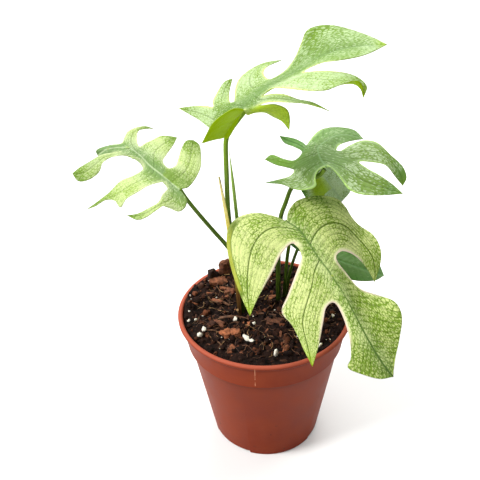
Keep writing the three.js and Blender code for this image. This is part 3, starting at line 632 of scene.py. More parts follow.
# Dry plant fibre: dull straw to dark brown, darker in patches where peat sticks.
fibre, node = new_material("dry_fibre")
spot = node("TexCoord", output="Object")
tone = node("Attribute", output="Fac", attribute_name="tone")
patch = node("TexNoise", {"Vector": spot, "Scale": 350, "Detail": 4})
tint = node("ValToRGB", [tone], stops=((0, "#33201a"), (0.5, "#7a5238"), (1, "#b08a5a")))
shade = node("MapRange", [patch, 0.35, 0.6, 0.45, 1.1])
node("OutputMaterial", [node("BsdfPrincipled", {
    "Base Color": node("Mix", {0: 1, 6: tint, 7: shade}, 2, data_type="RGBA", blend_type="MULTIPLY"),
    "Roughness": 0.75,
    "IOR": 1.45,
})])
fibres = add_piece("fibres_and_twigs", strand_shape, [fibre], sharp_degrees=60)
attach(fibres, "root")

# ---------------- leaves
# Each blade is a thin leathery sheet, cut deep between its lobes, with a raised midrib below.
# The top is netted green on cream, with pale margins along the cuts. The underside is duller,
# but the top leaf's underside is painted bright yellow-green, as light shining through it.

BLADE = 0.8
BLADE_EDGE = 0.4
MIDRIB_RIDGE = 1.8
CAMBER = 0.05
QUILTING = 0.14
LOBE_ROWS = 52
WEB_ROWS = 12
STEP_COLUMNS = 7
END_COLUMNS = 42
FAIRING_PASSES = 64
PLAIN_GREEN = 0.85
VEIN_PITCH = 4.5
VEIN_SLANT = 1.1

# The grooves along the midrib and along a lobe's own vein: how deep and how wide.
MIDRIB_GROOVE = (0.45, 1.1)
LOBE_GROOVE = (0.22, 1.3)

# How far the ridge spreads beside the midrib, how far in from its edge a blade is thinner, and
# between which distances from the edge its pale margins and its painted rolled margin, with a
# painted fold shadow at its inner edge, fade out.
RIDGE_REACH = 2.2
THIN_REACH = 2.5
PALE_MARGIN = (0.4, 3.6)
PAINTED_ROLL_MARGIN = (2.8, 4)

# A leaf: the knot of its midrib where the end lobe starts, the midrib's knots from the stalk to
# the tip, and its lobes in turn round the blade.
Leaf = namedtuple("Leaf", "end_knot midrib lobes")

# A lobe: its foot's width in midrib steps, its margin's knots out to its tip, the tip, the knots
# back, and the bottom of the cut beyond it. The end lobe has no foot and no tip of its own.
Lobe = namedtuple("Lobe", "foot out tip back cut")

LEAVES = {
    "leaf_top": Leaf(6, [(-22, 0, 235), (-18, -2, 243), (-14, -4, 251), (-9, -5, 259), (-2, -4, 264),
            (6, -2, 269), (16, 0, 273), (28, 2, 280), (42, 2, 286), (57, 1, 289), (70, -2, 290)], [
        Lobe(3, [(-24, -6, 237), (-28, -14, 240)], (-34, -20, 241), [(-31, -20, 247), (-27, -21, 254),
             (-21, -21, 259), (-15, -18, 261)], (-10, -10, 257)),
        Lobe(2, [(-8, -6, 252), (-4, -10, 255), (2, -12, 256), (7, -14, 254), (12, -16, 252)],
             (16, -17, 247), [(16, -22, 257), (14, -24, 263), (8, -22, 265), (2, -18, 263)],
             (-2, -11, 259)),
        Lobe(2, [(3, -20, 265), (9, -27, 268), (18, -33, 270), (27, -36, 270)], (36, -38, 267),
             [(28, -31, 269), (20, -26, 269), (13, -21, 270), (6, -15, 268)], (1, -10, 265)),
        Lobe(3, [(6, -17, 272), (14, -25, 275), (24, -31, 276), (34, -34, 277), (43, -33, 280),
             (50, -31, 281), (54, -30, 278)], (55, -28, 270), [(57, -25, 275), (53, -23, 279),
             (46, -20, 281), (34, -16, 281)], (24, -9, 278)),
        Lobe(0, [(33, -12, 284), (42, -17, 287), (52, -18, 289), (60, -14, 290)], None, [(63, 12, 290),
             (52, 20, 292), (42, 22, 294), (34, 22, 294), (27, 20, 292), (24, 17, 286), (20, 13, 278),
             (14, 10, 272)], (6, 12, 266)),
        Lobe(4, [(2, 16, 268), (4, 22, 270)], (13, 30, 271), [(4, 30, 270), (-5, 28, 267), (-12, 24, 263),
             (-15, 18, 259)], (-16, 10, 252)),
        Lobe(3, [(-19, 16, 251), (-19, 22, 255)], (-17, 28, 261), [(-22, 28, 259), (-25, 25, 256),
             (-29, 21, 250)], (-29, 18, 247)),
        Lobe(3, [(-34, 22, 246), (-43, 24, 245)], (-51, 24, 244), [(-45, 20, 242), (-37, 15, 239),
             (-29, 7, 236)], None),
    ]),
    "leaf_left": Leaf(5, [(-52, 2, 199), (-57, 6, 201), (-64, 11, 205), (-72, 18, 208), (-78, 24, 212),
            (-85, 29, 215), (-91, 31, 215), (-98, 32, 214), (-103, 33, 212), (-108, 33, 208)], [
        Lobe(3, [(-47, 6, 198), (-43, 15, 199), (-40, 25, 202), (-40, 33, 206), (-41, 39, 211)],
             (-45, 41, 214), [(-50, 40.2, 213.8), (-53, 35, 210), (-54.5, 28, 207), (-56, 21, 205.5)],
             (-60, 17, 206)),
        Lobe(3, [(-64, 22, 208), (-62, 28, 210), (-58, 36, 213)], (-56, 43, 215), [(-60, 43, 216),
             (-66, 42, 217), (-71, 39, 216), (-76, 36, 215)], (-80, 33, 214)),
        Lobe(3, [(-82, 39, 217), (-81, 44, 220), (-76, 47, 220)], (-72, 49, 219), [(-77, 49, 221),
             (-83, 47, 221), (-88, 44, 220), (-90, 40, 218)], (-92, 36, 215)),
        Lobe(0, [(-99, 36, 214), (-106, 36, 212), (-109, 34, 211)], None, [(-103, 31, 209), (-98, 30, 211)],
             (-92, 28, 213)),
        Lobe(3, [(-99, 28, 212), (-105, 27, 211), (-112, 24, 208), (-118, 20, 206)], (-122, 16, 204),
             [(-118, 13, 200), (-111, 13, 201), (-105, 17, 204), (-102, 21, 209), (-96, 23, 212),
             (-86, 24, 212), (-78, 21, 210)], (-76, 17, 206)),
        Lobe(3, [(-83, 17, 201), (-91, 14, 199), (-98, 8, 194), (-104, 4, 191)], (-112, 1, 186),
             [(-105, 1, 189), (-99, 2, 193), (-93, -1, 193), (-89, -6, 191), (-85, -4, 196), (-79, 0, 198),
             (-71, 4, 201)], (-63, 6, 202)),
        Lobe(3, [(-60, 5, 201), (-60, 2, 199), (-63, -1, 197), (-65, -4, 193), (-71, -7, 191),
             (-78, -9, 188)], (-85, -9, 187), [(-78, -13, 186), (-72, -13, 188), (-66, -10, 191),
             (-62, -7, 192), (-58, -6, 190), (-53, -7, 188), (-49, -7, 190), (-47, -6, 194),
             (-48, -3, 196)], None),
    ]),
    "leaf_right": Leaf(3, [(40, 8, 210), (37, 17, 211), (36, 27, 213), (41, 37, 213), (49, 46, 213),
            (59, 53, 210), (69, 56, 205)], [
        Lobe(4, [(43, 3, 211), (48, -3, 207), (53, -8, 202), (61, -9, 199), (73, -7, 197)], (87, -2, 195),
             [(81, 3, 199), (73, 6, 204), (66, 9, 207)], (61, 13, 210)),
        Lobe(4, [(70, 14, 209), (78, 13, 207), (84, 11, 200)], (89, 10, 194), [(92, 15, 197), (90, 21, 202),
             (83, 27, 207), (75, 33, 213), (66, 35, 214), (58, 33, 212)], (48, 27, 209)),
        Lobe(0, [(50, 36, 210), (57, 42, 210)], None, [(64, 63, 208), (56, 64, 210), (45, 62, 211),
             (38, 58, 210), (33, 52, 207)], (30, 46, 206)),
        Lobe(3, [(28, 52, 205), (22, 57, 206)], (12, 60, 207), [(16, 56, 203), (22, 50, 203)],
             (27, 42, 203)),
        Lobe(2, [(22, 40, 198), (15, 46, 196), (7, 51, 197)], (2, 50, 194), [(9, 44, 193), (16, 36, 195)],
             (21, 26, 198)),
        Lobe(3, [(18, 18, 198), (11, 12, 199)], (2, 6, 200), [(12, 2, 201), (19, -2, 200), (26, -4, 200),
             (33, -3, 202), (33, 2, 205), (35, 6, 208)], None),
    ]),
    "leaf_front": Leaf(4, [(15, -8, 180), (22, -14, 178), (28, -20, 172), (34, -27, 165), (41, -34, 158),
            (50, -44, 147), (62, -55, 126), (72, -60, 109), (80, -61, 97)], [
        Lobe(5, [(7, -3, 181), (-4, 1, 181), (-15, -3, 181), (-22, -7, 175), (-23, -11, 163),
             (-20, -19, 150), (-15, -29, 139)], (-9, -38, 129), [(-4, -36, 141), (5, -30, 156),
             (12, -23, 167)], (19, -19, 171)),
        Lobe(5, [(25, -21, 166), (21, -28, 157), (15, -36, 144), (11, -40, 133), (18, -48, 128),
             (24, -59, 118)], (29, -66, 111), [(33, -59, 122), (36, -51, 134), (38, -46, 141)],
             (43, -44, 143)),
        Lobe(0, [(48, -47, 136), (52, -54, 124), (53, -60, 113), (51, -63, 107), (60, -65, 103),
             (71, -65, 99)], None, [(81, -57, 107), (84, -49, 118), (86, -41, 129), (82, -35, 136),
             (72, -32, 139), (60, -30, 143), (51, -28, 154)], (45, -26, 163)),
        Lobe(10, [(49, -20, 165), (58, -17, 159), (66, -17, 149)], (71, -19, 140), [(75, -12, 150),
             (75, -8, 159), (70, -2, 166), (60, 6, 169), (53, 12, 179), (46, 14, 184), (34, 11, 187),
             (22, 4, 188), (16, -4, 185)], None),
    ]),
    "leaf_back": Leaf(2, [(28, 20, 139), (39, 17, 138), (50, 14, 135), (60, 12, 132), (72, 10, 128),
            (82, 8, 125)], [
        Lobe(4, [(25, 17, 140), (21, 14, 145)], (17, 14, 149), [(23, 12, 150), (29, 8, 146)], (38, 9, 136)),
        Lobe(0, [(48, 5, 129), (62, 3, 125), (75, 4, 124)], None, [(80, 16, 128), (77, 23, 135),
             (67, 29, 142)], (52, 26, 138)),
        Lobe(4, [(49, 32, 147), (41, 36, 151)], (33, 38, 152), [(27, 34, 147), (25, 26, 141)], None),
    ]),
    "leaf_under": Leaf(2, [(37, 30, 195), (42, 31, 189), (47, 32, 181), (54, 32, 171)], [
        Lobe(4, [(33, 27, 193), (28, 26, 188)], (26, 26, 183), [(30, 26, 176), (37, 27, 172)],
             (41, 29, 177)),
        Lobe(0, [(47, 29, 171)], None, [(59, 33, 177), (60, 35, 183)], (52, 34, 187)),
        Lobe(4, [(55, 37, 192)], (51, 38, 196), [(44, 36, 198), (39, 33, 197)], None),
    ]),
}

# How each leaf looks. greens: how green it is, from 0, cream, to 1, deep green, beside its
# midrib, midway along its lobes, at their tips, and at the end of its end lobe. ground: the
# colours between its net where it is cream and where it is green. blotch: how uneven. pale: the
# colours of its margins along the cuts, and how strong they are. veins: how dark they are.
# cells and net: how fine and how strong the net is. quilt: how much it swells between veins.
# bloom: how grey it is beside the midrib, and how far that reaches in mm. rib: the colour of its
# midrib; then the colour of its underside, which on the top leaf is a painted glow of light shining
# through it. Then the lobes painted saturated yellow-green beyond a share of their length, as
# painted light shining through them and, at the foot of the left leaf's first lobe, as painted
# shade; how strongly, and up to which share. plain: the lobes that are green all over. base: how
# strong the pale margins are at the stalk. Last, the lobe whose margin is painted as if rolled
# up, with a painted fold shadow along its inner edge, from and up to a share of its length.
LOOKS = {
    "leaf_top": {
        "slot": "netted_blade", "greens": (0.64, 0.33, 0.5, 0.48), "ground": ("#cee1ae", "#c0d6a4"),
        "blotch": 1.2, "pale": ("#e2edb2", "#e8f0a2", 0.5),
        "veins": 0.45, "cells": 1.25, "net": 0.95, "quilt": 0.6, "bloom": (0.5, 16), "rib": "#7f9c62",
        # Its underside is painted bright yellow-green, as light shining through it.
        "below": "#9fbe00", "painted_glow_and_shade": {
            0: (-0.3, 0.9), 1: (0.1, 0.95), 2: (0.75, 0.8), 3: (0.8, 1), 4: (0.84, 0.8), 7: (0.8, 0.4),
        },
    },
    "leaf_left": {
        "slot": "netted_blade", "greens": (0.68, 0.25, 0.6, 0.82), "ground": ("#dae6a6", "#b6c988"),
        "blotch": 1.6, "pale": ("#ecf2c0", "#e9f0bc", 0.3),
        "veins": 0.45, "cells": 1.1, "net": 0.9, "quilt": 0.6, "bloom": (0.65, 16), "rib": "#bccfa0",
        "below": "#b0c67c", "painted_glow_and_shade": {0: (-0.3, 0.45, 0.08), 5: (0.85, 0.3)},
    },
    "leaf_right": {
        "slot": "green_blade", "greens": (0.7, 0.5, 0.8, 0.78), "ground": ("#e0efcc", "#c6dcac"),
        "blotch": 2.1, "pale": ("#cfe6a0", "#cdf090", 0.5),
        "veins": 0.6, "cells": 0.8, "net": 0.9, "quilt": 0.7, "bloom": (0.4, 34), "rib": "#8fb07a",
        "below": "#7f9f5c", "painted_glow_and_shade": {0: (0.8, 0.4), 1: (0.8, 0.4), 4: (0.05, 0.3)},
        "plain": (3, 4), "base": 1,
    },
    "leaf_front": {
        "slot": "netted_blade", "greens": (0.45, 0.31, 0.44, 0.5), "ground": ("#ecf2ac", "#d8e48a"),
        "blotch": 1.4, "pale": ("#f2f2c0", "#f3dccc", 1),
        "veins": 1, "cells": 1, "net": 0.95, "quilt": 1, "bloom": (0.25, 9), "rib": "#5f7f3a",
        "below": "#a9bd55", "painted_glow_and_shade": {0: (0.84, 0.8), 1: (0.82, 0.8), 3: (0.9, 0.3)},
        "painted_roll": (0, 0.3, 0.9),
    },
    "leaf_back": {
        "slot": "dark_blade", "greens": (0.86, 0.84, 0.95, 0.9), "ground": ("#b4d080", "#8fb85c"),
        "blotch": 1.9, "pale": ("#a9c98c", "#a9c98c", 0),
        "veins": 0.35, "cells": 1.2, "net": 0.9, "quilt": 0.6, "bloom": (0.4, 12), "rib": "#6d9a58",
        "below": "#5f8f4c", "painted_glow_and_shade": {},
    },
    "leaf_under": {
        "slot": "green_blade", "greens": (0.25, 0.35, 1, 0.3), "ground": ("#d4e6d0", "#bcd4b2"),
        "blotch": 1, "pale": ("#cfe0b0", "#c8dca8", 0),
        "veins": 0.25, "cells": 1.4, "net": 0.95, "quilt": 0.3, "bloom": (0.8, 9), "rib": "#b4c9a8",
        "below": "#9dba88", "painted_glow_and_shade": {0: (-0.1, 1, 0.4)},
    },
}


def lobe_margins(lobes, base, tip):
    """For each lobe, the stretches of its margin from its foot or its cuts to its tip."""
    outs, backs = [], []
    for before, after in zip([None, *lobes], [*lobes, None]):
        back = before.back if before else []
        cut = [before.cut] if before and after else []
        out = after.out if after else []
        start = (before.tip or tip) if before else base
        end = (after.tip or tip) if after else base
        spans = smooth_spans([start, *back, *cut, *out, end])
        if before:
            bottom = len(back) + 1
            backs.append([span[::-1] for span in reversed(spans[:bottom])])
            spans = spans[bottom:]
        if after:
            outs.append(spans)
    return outs, backs


def margin_rows(foot, spans, is_cut):
    """A margin in rows: along the web from the midrib to the cut, then free to the tip."""
    if not is_cut:
        return even_points(spans, LOBE_ROWS)
    web = [foot.lerp(spans[0][0], row / WEB_ROWS) for row in range(WEB_ROWS)]
    return web + even_points(spans, LOBE_ROWS - WEB_ROWS)


def add_lobe(blade, layers, outs, backs, foot_row, spine, greens, painted_glow_and_shade):
    """One lobe: a grid between its two margins, arched across, with its foot on the midrib."""
    columns = len(foot_row) - 1
    middles = spine or [a.lerp(b, 0.5) for a, b in zip(outs, backs)]
    lengths = lengths_along(middles)
    widest = max((b - a).length for a, b in zip(outs, backs))
    veins = 2 * max(1, round(widest / 2 / VEIN_PITCH)) + 1
    beside, midway, far = greens
    verts = bmesh.ops.create_grid(blade, x_segments=columns, y_segments=LOBE_ROWS, size=0.5)["verts"]
    places = {vert: (round((vert.co.x + 0.5) * columns), round((vert.co.y + 0.5) * LOBE_ROWS))
              for vert in verts}
    maps = {}
    for vert, (column, row) in places.items():
        across = column / columns
        along = row / LOBE_ROWS
        width = backs[row] - outs[row]
        ahead = middles[min(row + 1, LOBE_ROWS)] - middles[max(row - 1, 0)]
        if spine and across < 0.5:
            point = outs[row].lerp(spine[row], 2 * across)
        elif spine:
            point = spine[row].lerp(backs[row], 2 * across - 1)
        else:
            point = outs[row].lerp(backs[row], across)
            arch = CAMBER * width.length * min(row / WEB_ROWS, 1) * 4 * across * (1 - across)
            point += ahead.cross(width).normalized() * arch
        straight = outs[0].lerp(backs[0], across)
        point += (foot_row[column] - straight) * (1 - along) ** 2
        vert.co = point
        if spine:
            aside = (point - spine[row]).length * (1 if across > 0.5 else -1)
            phase = (lengths[row] - VEIN_SLANT * abs(aside)) / VEIN_PITCH
            pitch = VEIN_PITCH / 1.5
        else:
            aside = (across - 0.5) * width.length
            phase = across * veins
            pitch = width.length / veins
        maps[vert] = (aside, lengths[row]), (phase, pitch)
        vert[layers["green"]] = (
            beside + (midway - beside) * smoothstep(along, 0.05, 0.4)
            + (far - midway) * smoothstep(along, 0.55, 0.98))
        # How strongly this part of the lobe takes the painted yellow-green of light shining through it, and
        # of shade at a lobe's foot.
        starts, strength, ends = painted_glow_and_shade
        vert[layers["painted_glow_and_shade"]] = (strength * smoothstep(along, starts, min(starts + 0.3, 1))
                                 * (1 - smoothstep(along, ends, ends + 0.3)))
        vert[layers["quilt"]] = math.cos(math.tau * phase) * smoothstep(pitch, 0.6, 2.5)
        vert[layers["aside"]] = abs(aside)
    for face in {face for vert in verts for face in vert.link_faces}:
        for loop in face.loops:
            loop[layers["flow"]].uv, loop[layers["veins"]].uv = maps[loop.vert]


def search_tree(points):
    """A tree that finds the nearest of some points."""
    tree = kdtree.KDTree(len(points))
    for place, point in enumerate(points):
        tree.insert(point, place)
    tree.balance()
    return tree


def make_blade(leaf, look):
    """The whole blade as one sheet that faces up, with its colour and thickness values."""
    blade = bmesh.new()
    layers = {name: blade.verts.layers.float.new(name)
              for name in ("green", "painted_glow_and_shade", "quilt", "aside", "rib", "margin", "cream", "painted_roll_share")}
    layers |= {name: blade.loops.layers.uv.new(name) for name in ("flow", "veins")}
    midrib = smooth_spans(leaf.midrib)
    steps = sum(lobe.foot for lobe in leaf.lobes) * STEP_COLUMNS // 2
    stations = even_points(midrib[:leaf.end_knot], steps)
    spine = even_points(midrib[leaf.end_knot:], LOBE_ROWS)
    outs, backs = lobe_margins(leaf.lobes, stations[0], spine[-1])
    beside, midway, far, end = look["greens"]
    painted_roll, painted_roll_start, painted_roll_end = look.get("painted_roll", (None, 0, 0))
    base_pale = look.get("base", 0.15)
    edge = []
    station = 0
    direction = 1
    for number, lobe in enumerate(leaf.lobes):
        is_end = lobe.foot == 0
        is_plain = number in look.get("plain", ())
        width = lobe.foot * STEP_COLUMNS
        next_station = station + direction * width
        has_out, has_back = number > 0, number < len(leaf.lobes) - 1
        out_rows = margin_rows(stations[station], outs[number], has_out)
        back_rows = margin_rows(stations[next_station], backs[number], has_back)
        if is_end:
            foot_row = [spine[0]] * (END_COLUMNS + 1)
            tones = (beside, (beside + end) / 2, end)
            direction = -1
        else:
            foot_row = [stations[station + direction * step] for step in range(width + 1)]
            tones = (beside, PLAIN_GREEN, PLAIN_GREEN) if is_plain else (beside, midway, far)
        add_lobe(blade, layers, out_rows, back_rows, foot_row, spine if is_end else None, tones,
                 (*look["painted_glow_and_shade"].get(number, (0, 0)), 1)[:3])
        for rows, is_cut in ((out_rows, has_out), (back_rows, has_back)):
            first = WEB_ROWS if is_cut else 0
            for row in range(first, LOBE_ROWS + 1):
                share = row / LOBE_ROWS
                fade = 1 - smoothstep(share, 0.4, 0.62 if is_end else 0.85)
                # The painted roll of the curled lobe's outer margin, which ends in a painted fold shadow.
                painted_roll_share = smoothstep(share, painted_roll_start, painted_roll_start + 0.2)
                painted_roll_share *= 1 - smoothstep(share, painted_roll_end - 0.1, painted_roll_end)
                pale = 0 if is_plain else look["pale"][2]
                edge.append((rows[row], pale * fade * (1 if is_cut else base_pale),
                             painted_roll_share if rows is out_rows and number == painted_roll else 0))
        station = next_station
    bmesh.ops.remove_doubles(blade, verts=blade.verts, dist=1e-3)
    pinched = [vert for vert in blade.verts if (vert.co - spine[0]).length < 1]
    bmesh.ops.pointmerge(blade, verts=pinched, merge_co=spine[0])
    bmesh.ops.dissolve_degenerate(blade, edges=blade.edges, dist=1e-4)

    rib_tree = search_tree(stations + spine)
    edge_tree = search_tree([point for point, _, _ in edge])
    free = [vert for vert in blade.verts if not vert.is_boundary and rib_tree.find(vert.co)[2] > 1e-3]
    for _ in range(FAIRING_PASSES):
        bmesh.ops.smooth_vert(blade, verts=free, factor=0.5,
                              use_axis_x=True, use_axis_y=True, use_axis_z=True)
    blade.normal_update()
    if sum(face.normal.z * face.calc_area() for face in blade.faces) < 0:
        bmesh.ops.reverse_faces(blade, faces=blade.faces)
        blade.normal_update()

    thickness = blade.verts.layers.deform.verify()
    moves = []
    for vert in blade.verts:
        _, nearest, rib = rib_tree.find(vert.co)
        _, beyond, margin = edge_tree.find(vert.co)
        aside = vert[layers["aside"]]
        ridge = MIDRIB_RIDGE * (1 - smoothstep(nearest, 0, len(stations)))
        ridge *= 1 - smoothstep(rib, 0, RIDGE_REACH)
        inner = smoothstep(margin, 0, THIN_REACH)
        vert[layers["rib"]] = rib
        vert[layers["margin"]] = margin
        vert[layers["cream"]] = edge[beyond][1] * (1 - smoothstep(margin, *PALE_MARGIN))
        vert[layers["painted_roll_share"]] = edge[beyond][2] * (1 - smoothstep(margin, *PAINTED_ROLL_MARGIN))
        vert[thickness][0] = (BLADE_EDGE + (BLADE - BLADE_EDGE) * inner + ridge) / (BLADE + MIDRIB_RIDGE)
        rise = QUILTING * look["quilt"] * vert[layers["quilt"]]
        for span, (depth, reach) in ((rib, MIDRIB_GROOVE), (aside, LOBE_GROOVE)):
            rise -= depth * math.exp(-(span / reach) ** 2)
        moves.append((vert, vert.normal * (BLADE / 2 + inner * rise)))
    for vert, move in moves:
        vert.co += move
    return blade


# The green of the net's threads, by how green the blade is there.
NET = ((0, "#b4cc5c"), (0.3, "#86a634"), (0.6, "#6c9020"), (0.8, "#558434"), (1, "#40752c"))


def blade_skin(name, look, under):
    """The skin of a blade's one side, with its net, its veins and its pale margins."""
    material, node = new_material(name)
    flow = node("UVMap", uv_map="flow")
    phase = node("SeparateXYZ", [node("UVMap", uv_map="veins")])
    pitch = phase.node.outputs["Y"]
    aside = node("SeparateXYZ", [flow])
    green, rib, margin, cream, painted_glow_and_shade, painted_roll_share = (
        node("Attribute", output="Fac", attribute_name=layer)
        for layer in ("green", "rib", "margin", "cream", "painted_glow_and_shade", "painted_roll_share"))
    spot = node("TexCoord", output="Object")
    cloud = node("TexNoise", {"Vector": spot, "Scale": 90, "Detail": 5, "Roughness": 0.6})
    drift = node("Math", [cloud, 0.5], operation="SUBTRACT")

    # The net: coarse and fine cells, longer along the veins, with threads that widen with green.
    warp = node("TexNoise", {"Vector": flow, "Scale": 0.8, "Detail": 4}, "Color")
    warp = node("VectorMath", [warp, (1.6, 2.2, 0)], operation="MULTIPLY")
    bent = node("VectorMath", [flow, warp], operation="ADD")
    size = (0.66 * look["cells"], 0.33 * look["cells"], 1)
    cells = node("Mapping", {"Vector": bent, "Scale": size})
    coarse, fine = (node("TexVoronoi", {"Vector": cells, "Scale": scale}, feature="DISTANCE_TO_EDGE",
                         voronoi_dimensions="2D") for scale in (1, 2.3))
    strands = node("Mapping", {"Vector": bent, "Scale": (1.5, 0.2, 1)})
    strand = node("TexNoise", {"Vector": strands, "Scale": 1, "Detail": 4, "Roughness": 0.65})
    uneven = node("Math", [drift, look["blotch"], green], operation="MULTIPLY_ADD")
    uneven = node("Math", [uneven, 0.02], operation="MAXIMUM")
    uneven = node("Math", [uneven, 1.7], operation="POWER")
    reach = node("Math", [uneven, 0.6], operation="MULTIPLY")
    thread = node("Math", [reach, coarse], operation="SUBTRACT")
    thread = node("MapRange", [thread, -0.05, 0.05])
    narrow = node("Math", [reach, 0.7], operation="MULTIPLY")
    narrow = node("Math", [narrow, fine], operation="SUBTRACT")
    narrow = node("MapRange", [narrow, -0.08, 0.12, 0, 0.6])
    cover = node("Math", [thread, narrow], operation="MAXIMUM")
    stripe = node("Math", [green, 0.35, strand], operation="MULTIPLY_ADD")
    stripe = node("MapRange", [stripe, 0.66, 0.83, 0, 0.85])
    cover = node("Math", [cover, stripe], operation="MAXIMUM")
    cover = node("Math", [cover, look["net"]], operation="MULTIPLY")

    # The veins: one down each lobe, and finer ones beside it that waver, come and go.
    waver = node("Math", [strand, 0.5], operation="SUBTRACT")
    phase = node("Math", [waver, 1.3, phase], operation="MULTIPLY_ADD")
    away = node("Math", [node("Math", [phase], operation="FRACT"), 0.5], operation="SUBTRACT")
    away = node("Math", [node("Math", [away], operation="ABSOLUTE"), pitch], operation="MULTIPLY")
    side = node("MapRange", [away, 0.12, 0.44, 0.8, 0])
    side = node("Math", [side, node("MapRange", [pitch, 0.8, 2.5])], operation="MULTIPLY")
    ebb = node("MapRange", [drift, -0.1, 0.08, 0.4, 1])
    side = node("Math", [side, ebb], operation="MULTIPLY")
    main = node("Math", [aside], operation="ABSOLUTE")
    main = node("MapRange", [main, 0.25, 0.75, 0.9, 0])
    vein = node("Math", [side, main], operation="MAXIMUM")
    vein = node("Math", [vein, look["veins"]], operation="MULTIPLY")

    # The colours: ground and net, a grey bloom beside the midrib, and pale along the cuts.
    inner, outer, _ = look["pale"]
    grey, grey_reach = look["bloom"]
    pale = node("Math", [drift, 1.2, cream], operation="MULTIPLY_ADD")
    bare = node("MapRange", [pale, 0.15, 0.8, 1, 0.06])
    dusk = node("Math", [drift, 14, rib], operation="MULTIPLY_ADD")
    dusk = node("MapRange", [dusk, 2, grey_reach, grey, 0])
    cream_colour, green_colour = look["ground"]
    ground = node("ValToRGB", [green], stops=((0.1, cream_colour), (0.7, green_colour), (1, "#7fae62")))
    net = node("Mix", {0: dusk, 6: node("ValToRGB", [green], stops=NET), 7: linear("#7c9a62")},
               2, data_type="RGBA")
    near = node("MapRange", [cream, 0.2, 0.75])
    last = node("MapRange", [margin, 0.5, 1.4, 1, 0])
    last = node("Math", [last, node("MapRange", [cream, 0.1, 0.3])], operation="MULTIPLY")
    for share, code in ((dusk, "#c6d6ae"), (near, inner), (last, outer)):
        ground = node("Mix", {0: share, 6: ground, 7: linear(code)}, 2, data_type="RGBA")
    cover = node("Math", [cover, bare], operation="MULTIPLY")
    colour = node("Mix", {0: cover, 6: ground, 7: net}, 2, data_type="RGBA")
    dark = node("Mix", {0: 1, 6: net, 7: linear("#a2a88e")}, 2, data_type="RGBA", blend_type="MULTIPLY")
    vein = node("Math", [vein, bare], operation="MULTIPLY")
    spine = node("MapRange", [rib, 0.3, 0.8, 0.85, 0])
    hem = node("MapRange", [margin, 0.1, 0.45, 0.55, 0])
    uncut = node("MapRange", [cream, 0.05, 0.3, 1, 0])
    hem = node("Math", [hem, uncut], operation="MULTIPLY")
    # Painted light and shade: saturated yellow-green where light shines through a lobe, and where a lobe's
    # foot lies in shade.
    bright = node("Mix", {0: cover, 6: linear("#a9c41c"), 7: linear("#7f9f0c")}, 2, data_type="RGBA")
    # Painted: the margin is coloured as if rolled over, with a painted fold shadow along its inner edge.
    painted_roll_and_fold_shadow = node("ValToRGB", [painted_roll_share], stops=((0, "#5f7a22"), (0.5, "#6f8426"), (1, "#b0b43c")))
    painted_roll = node("MapRange", [painted_roll_share, 0, 0.3, 0, 0.85])
    coats = [(vein, dark), (spine, linear(look["rib"])), (hem, linear("#7c8a48")), (painted_glow_and_shade, bright),
             (painted_roll, painted_roll_and_fold_shadow)]
    # The underside's colour; the top leaf's is a painted glow of light shining through it.
    if under:
        coats.append((0.85, linear(look["below"])))
    for share, tint in coats:
        colour = node("Mix", {0: share, 6: colour, 7: tint}, 2, data_type="RGBA")
    glow = node("Mix", {0: 1, 6: colour, 7: linear("#e0f26c")}, 2, data_type="RGBA", blend_type="MULTIPLY")
    relief = node("Math", [cover, vein], operation="ADD")
    relief = node("Math", [relief, -0.6], operation="MULTIPLY")
    skin = node("BsdfPrincipled", {
        "Base Color": colour,
        "Roughness": node("MapRange", [cloud, 0.35, 0.65, 0.38, 0.5]),
        "IOR": 1.42,
        "Specular IOR Level": 0.05 if under else 0.18,
        "Normal": node("Bump", {"Height": relief, "Strength": 0.5, "Distance": 0.0002}),
    })
    through = node("BsdfTranslucent", {"Color": glow})
    node("OutputMaterial", [node("MixShader", [0.28, skin, through])])
    return material


for name, leaf in LEAVES.items():
    look = LOOKS[name]
    upper = blade_skin(f"{name}_netted_skin", look, under=False)
    lower = blade_skin(f"{name}_underside", look, under=True)
    piece = add_piece(f"{name}_blade", make_blade(leaf, look), [upper, lower], sharp_degrees=70)
    piece.vertex_groups.new(name="thickness")
    body = piece.modifiers.new("body", "SOLIDIFY")
    body.thickness = (BLADE + MIDRIB_RIDGE) * MM
    body.offset = -1
    body.vertex_group = "thickness"
    body.material_offset = 1
    body.material_offset_rim = 0
    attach(piece, "root")
    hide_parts(name)

# ---------------- leaf stalks
# Each leaf stands on a round, smooth stalk that tapers upwards and thickens again where it
# joins the midrib. A new leaf, still rolled up in a spike, stands beside the tallest stalk.

STALK_DEPTH = 10
STALK_STEP = 1.6
STALK_SIDES = 24

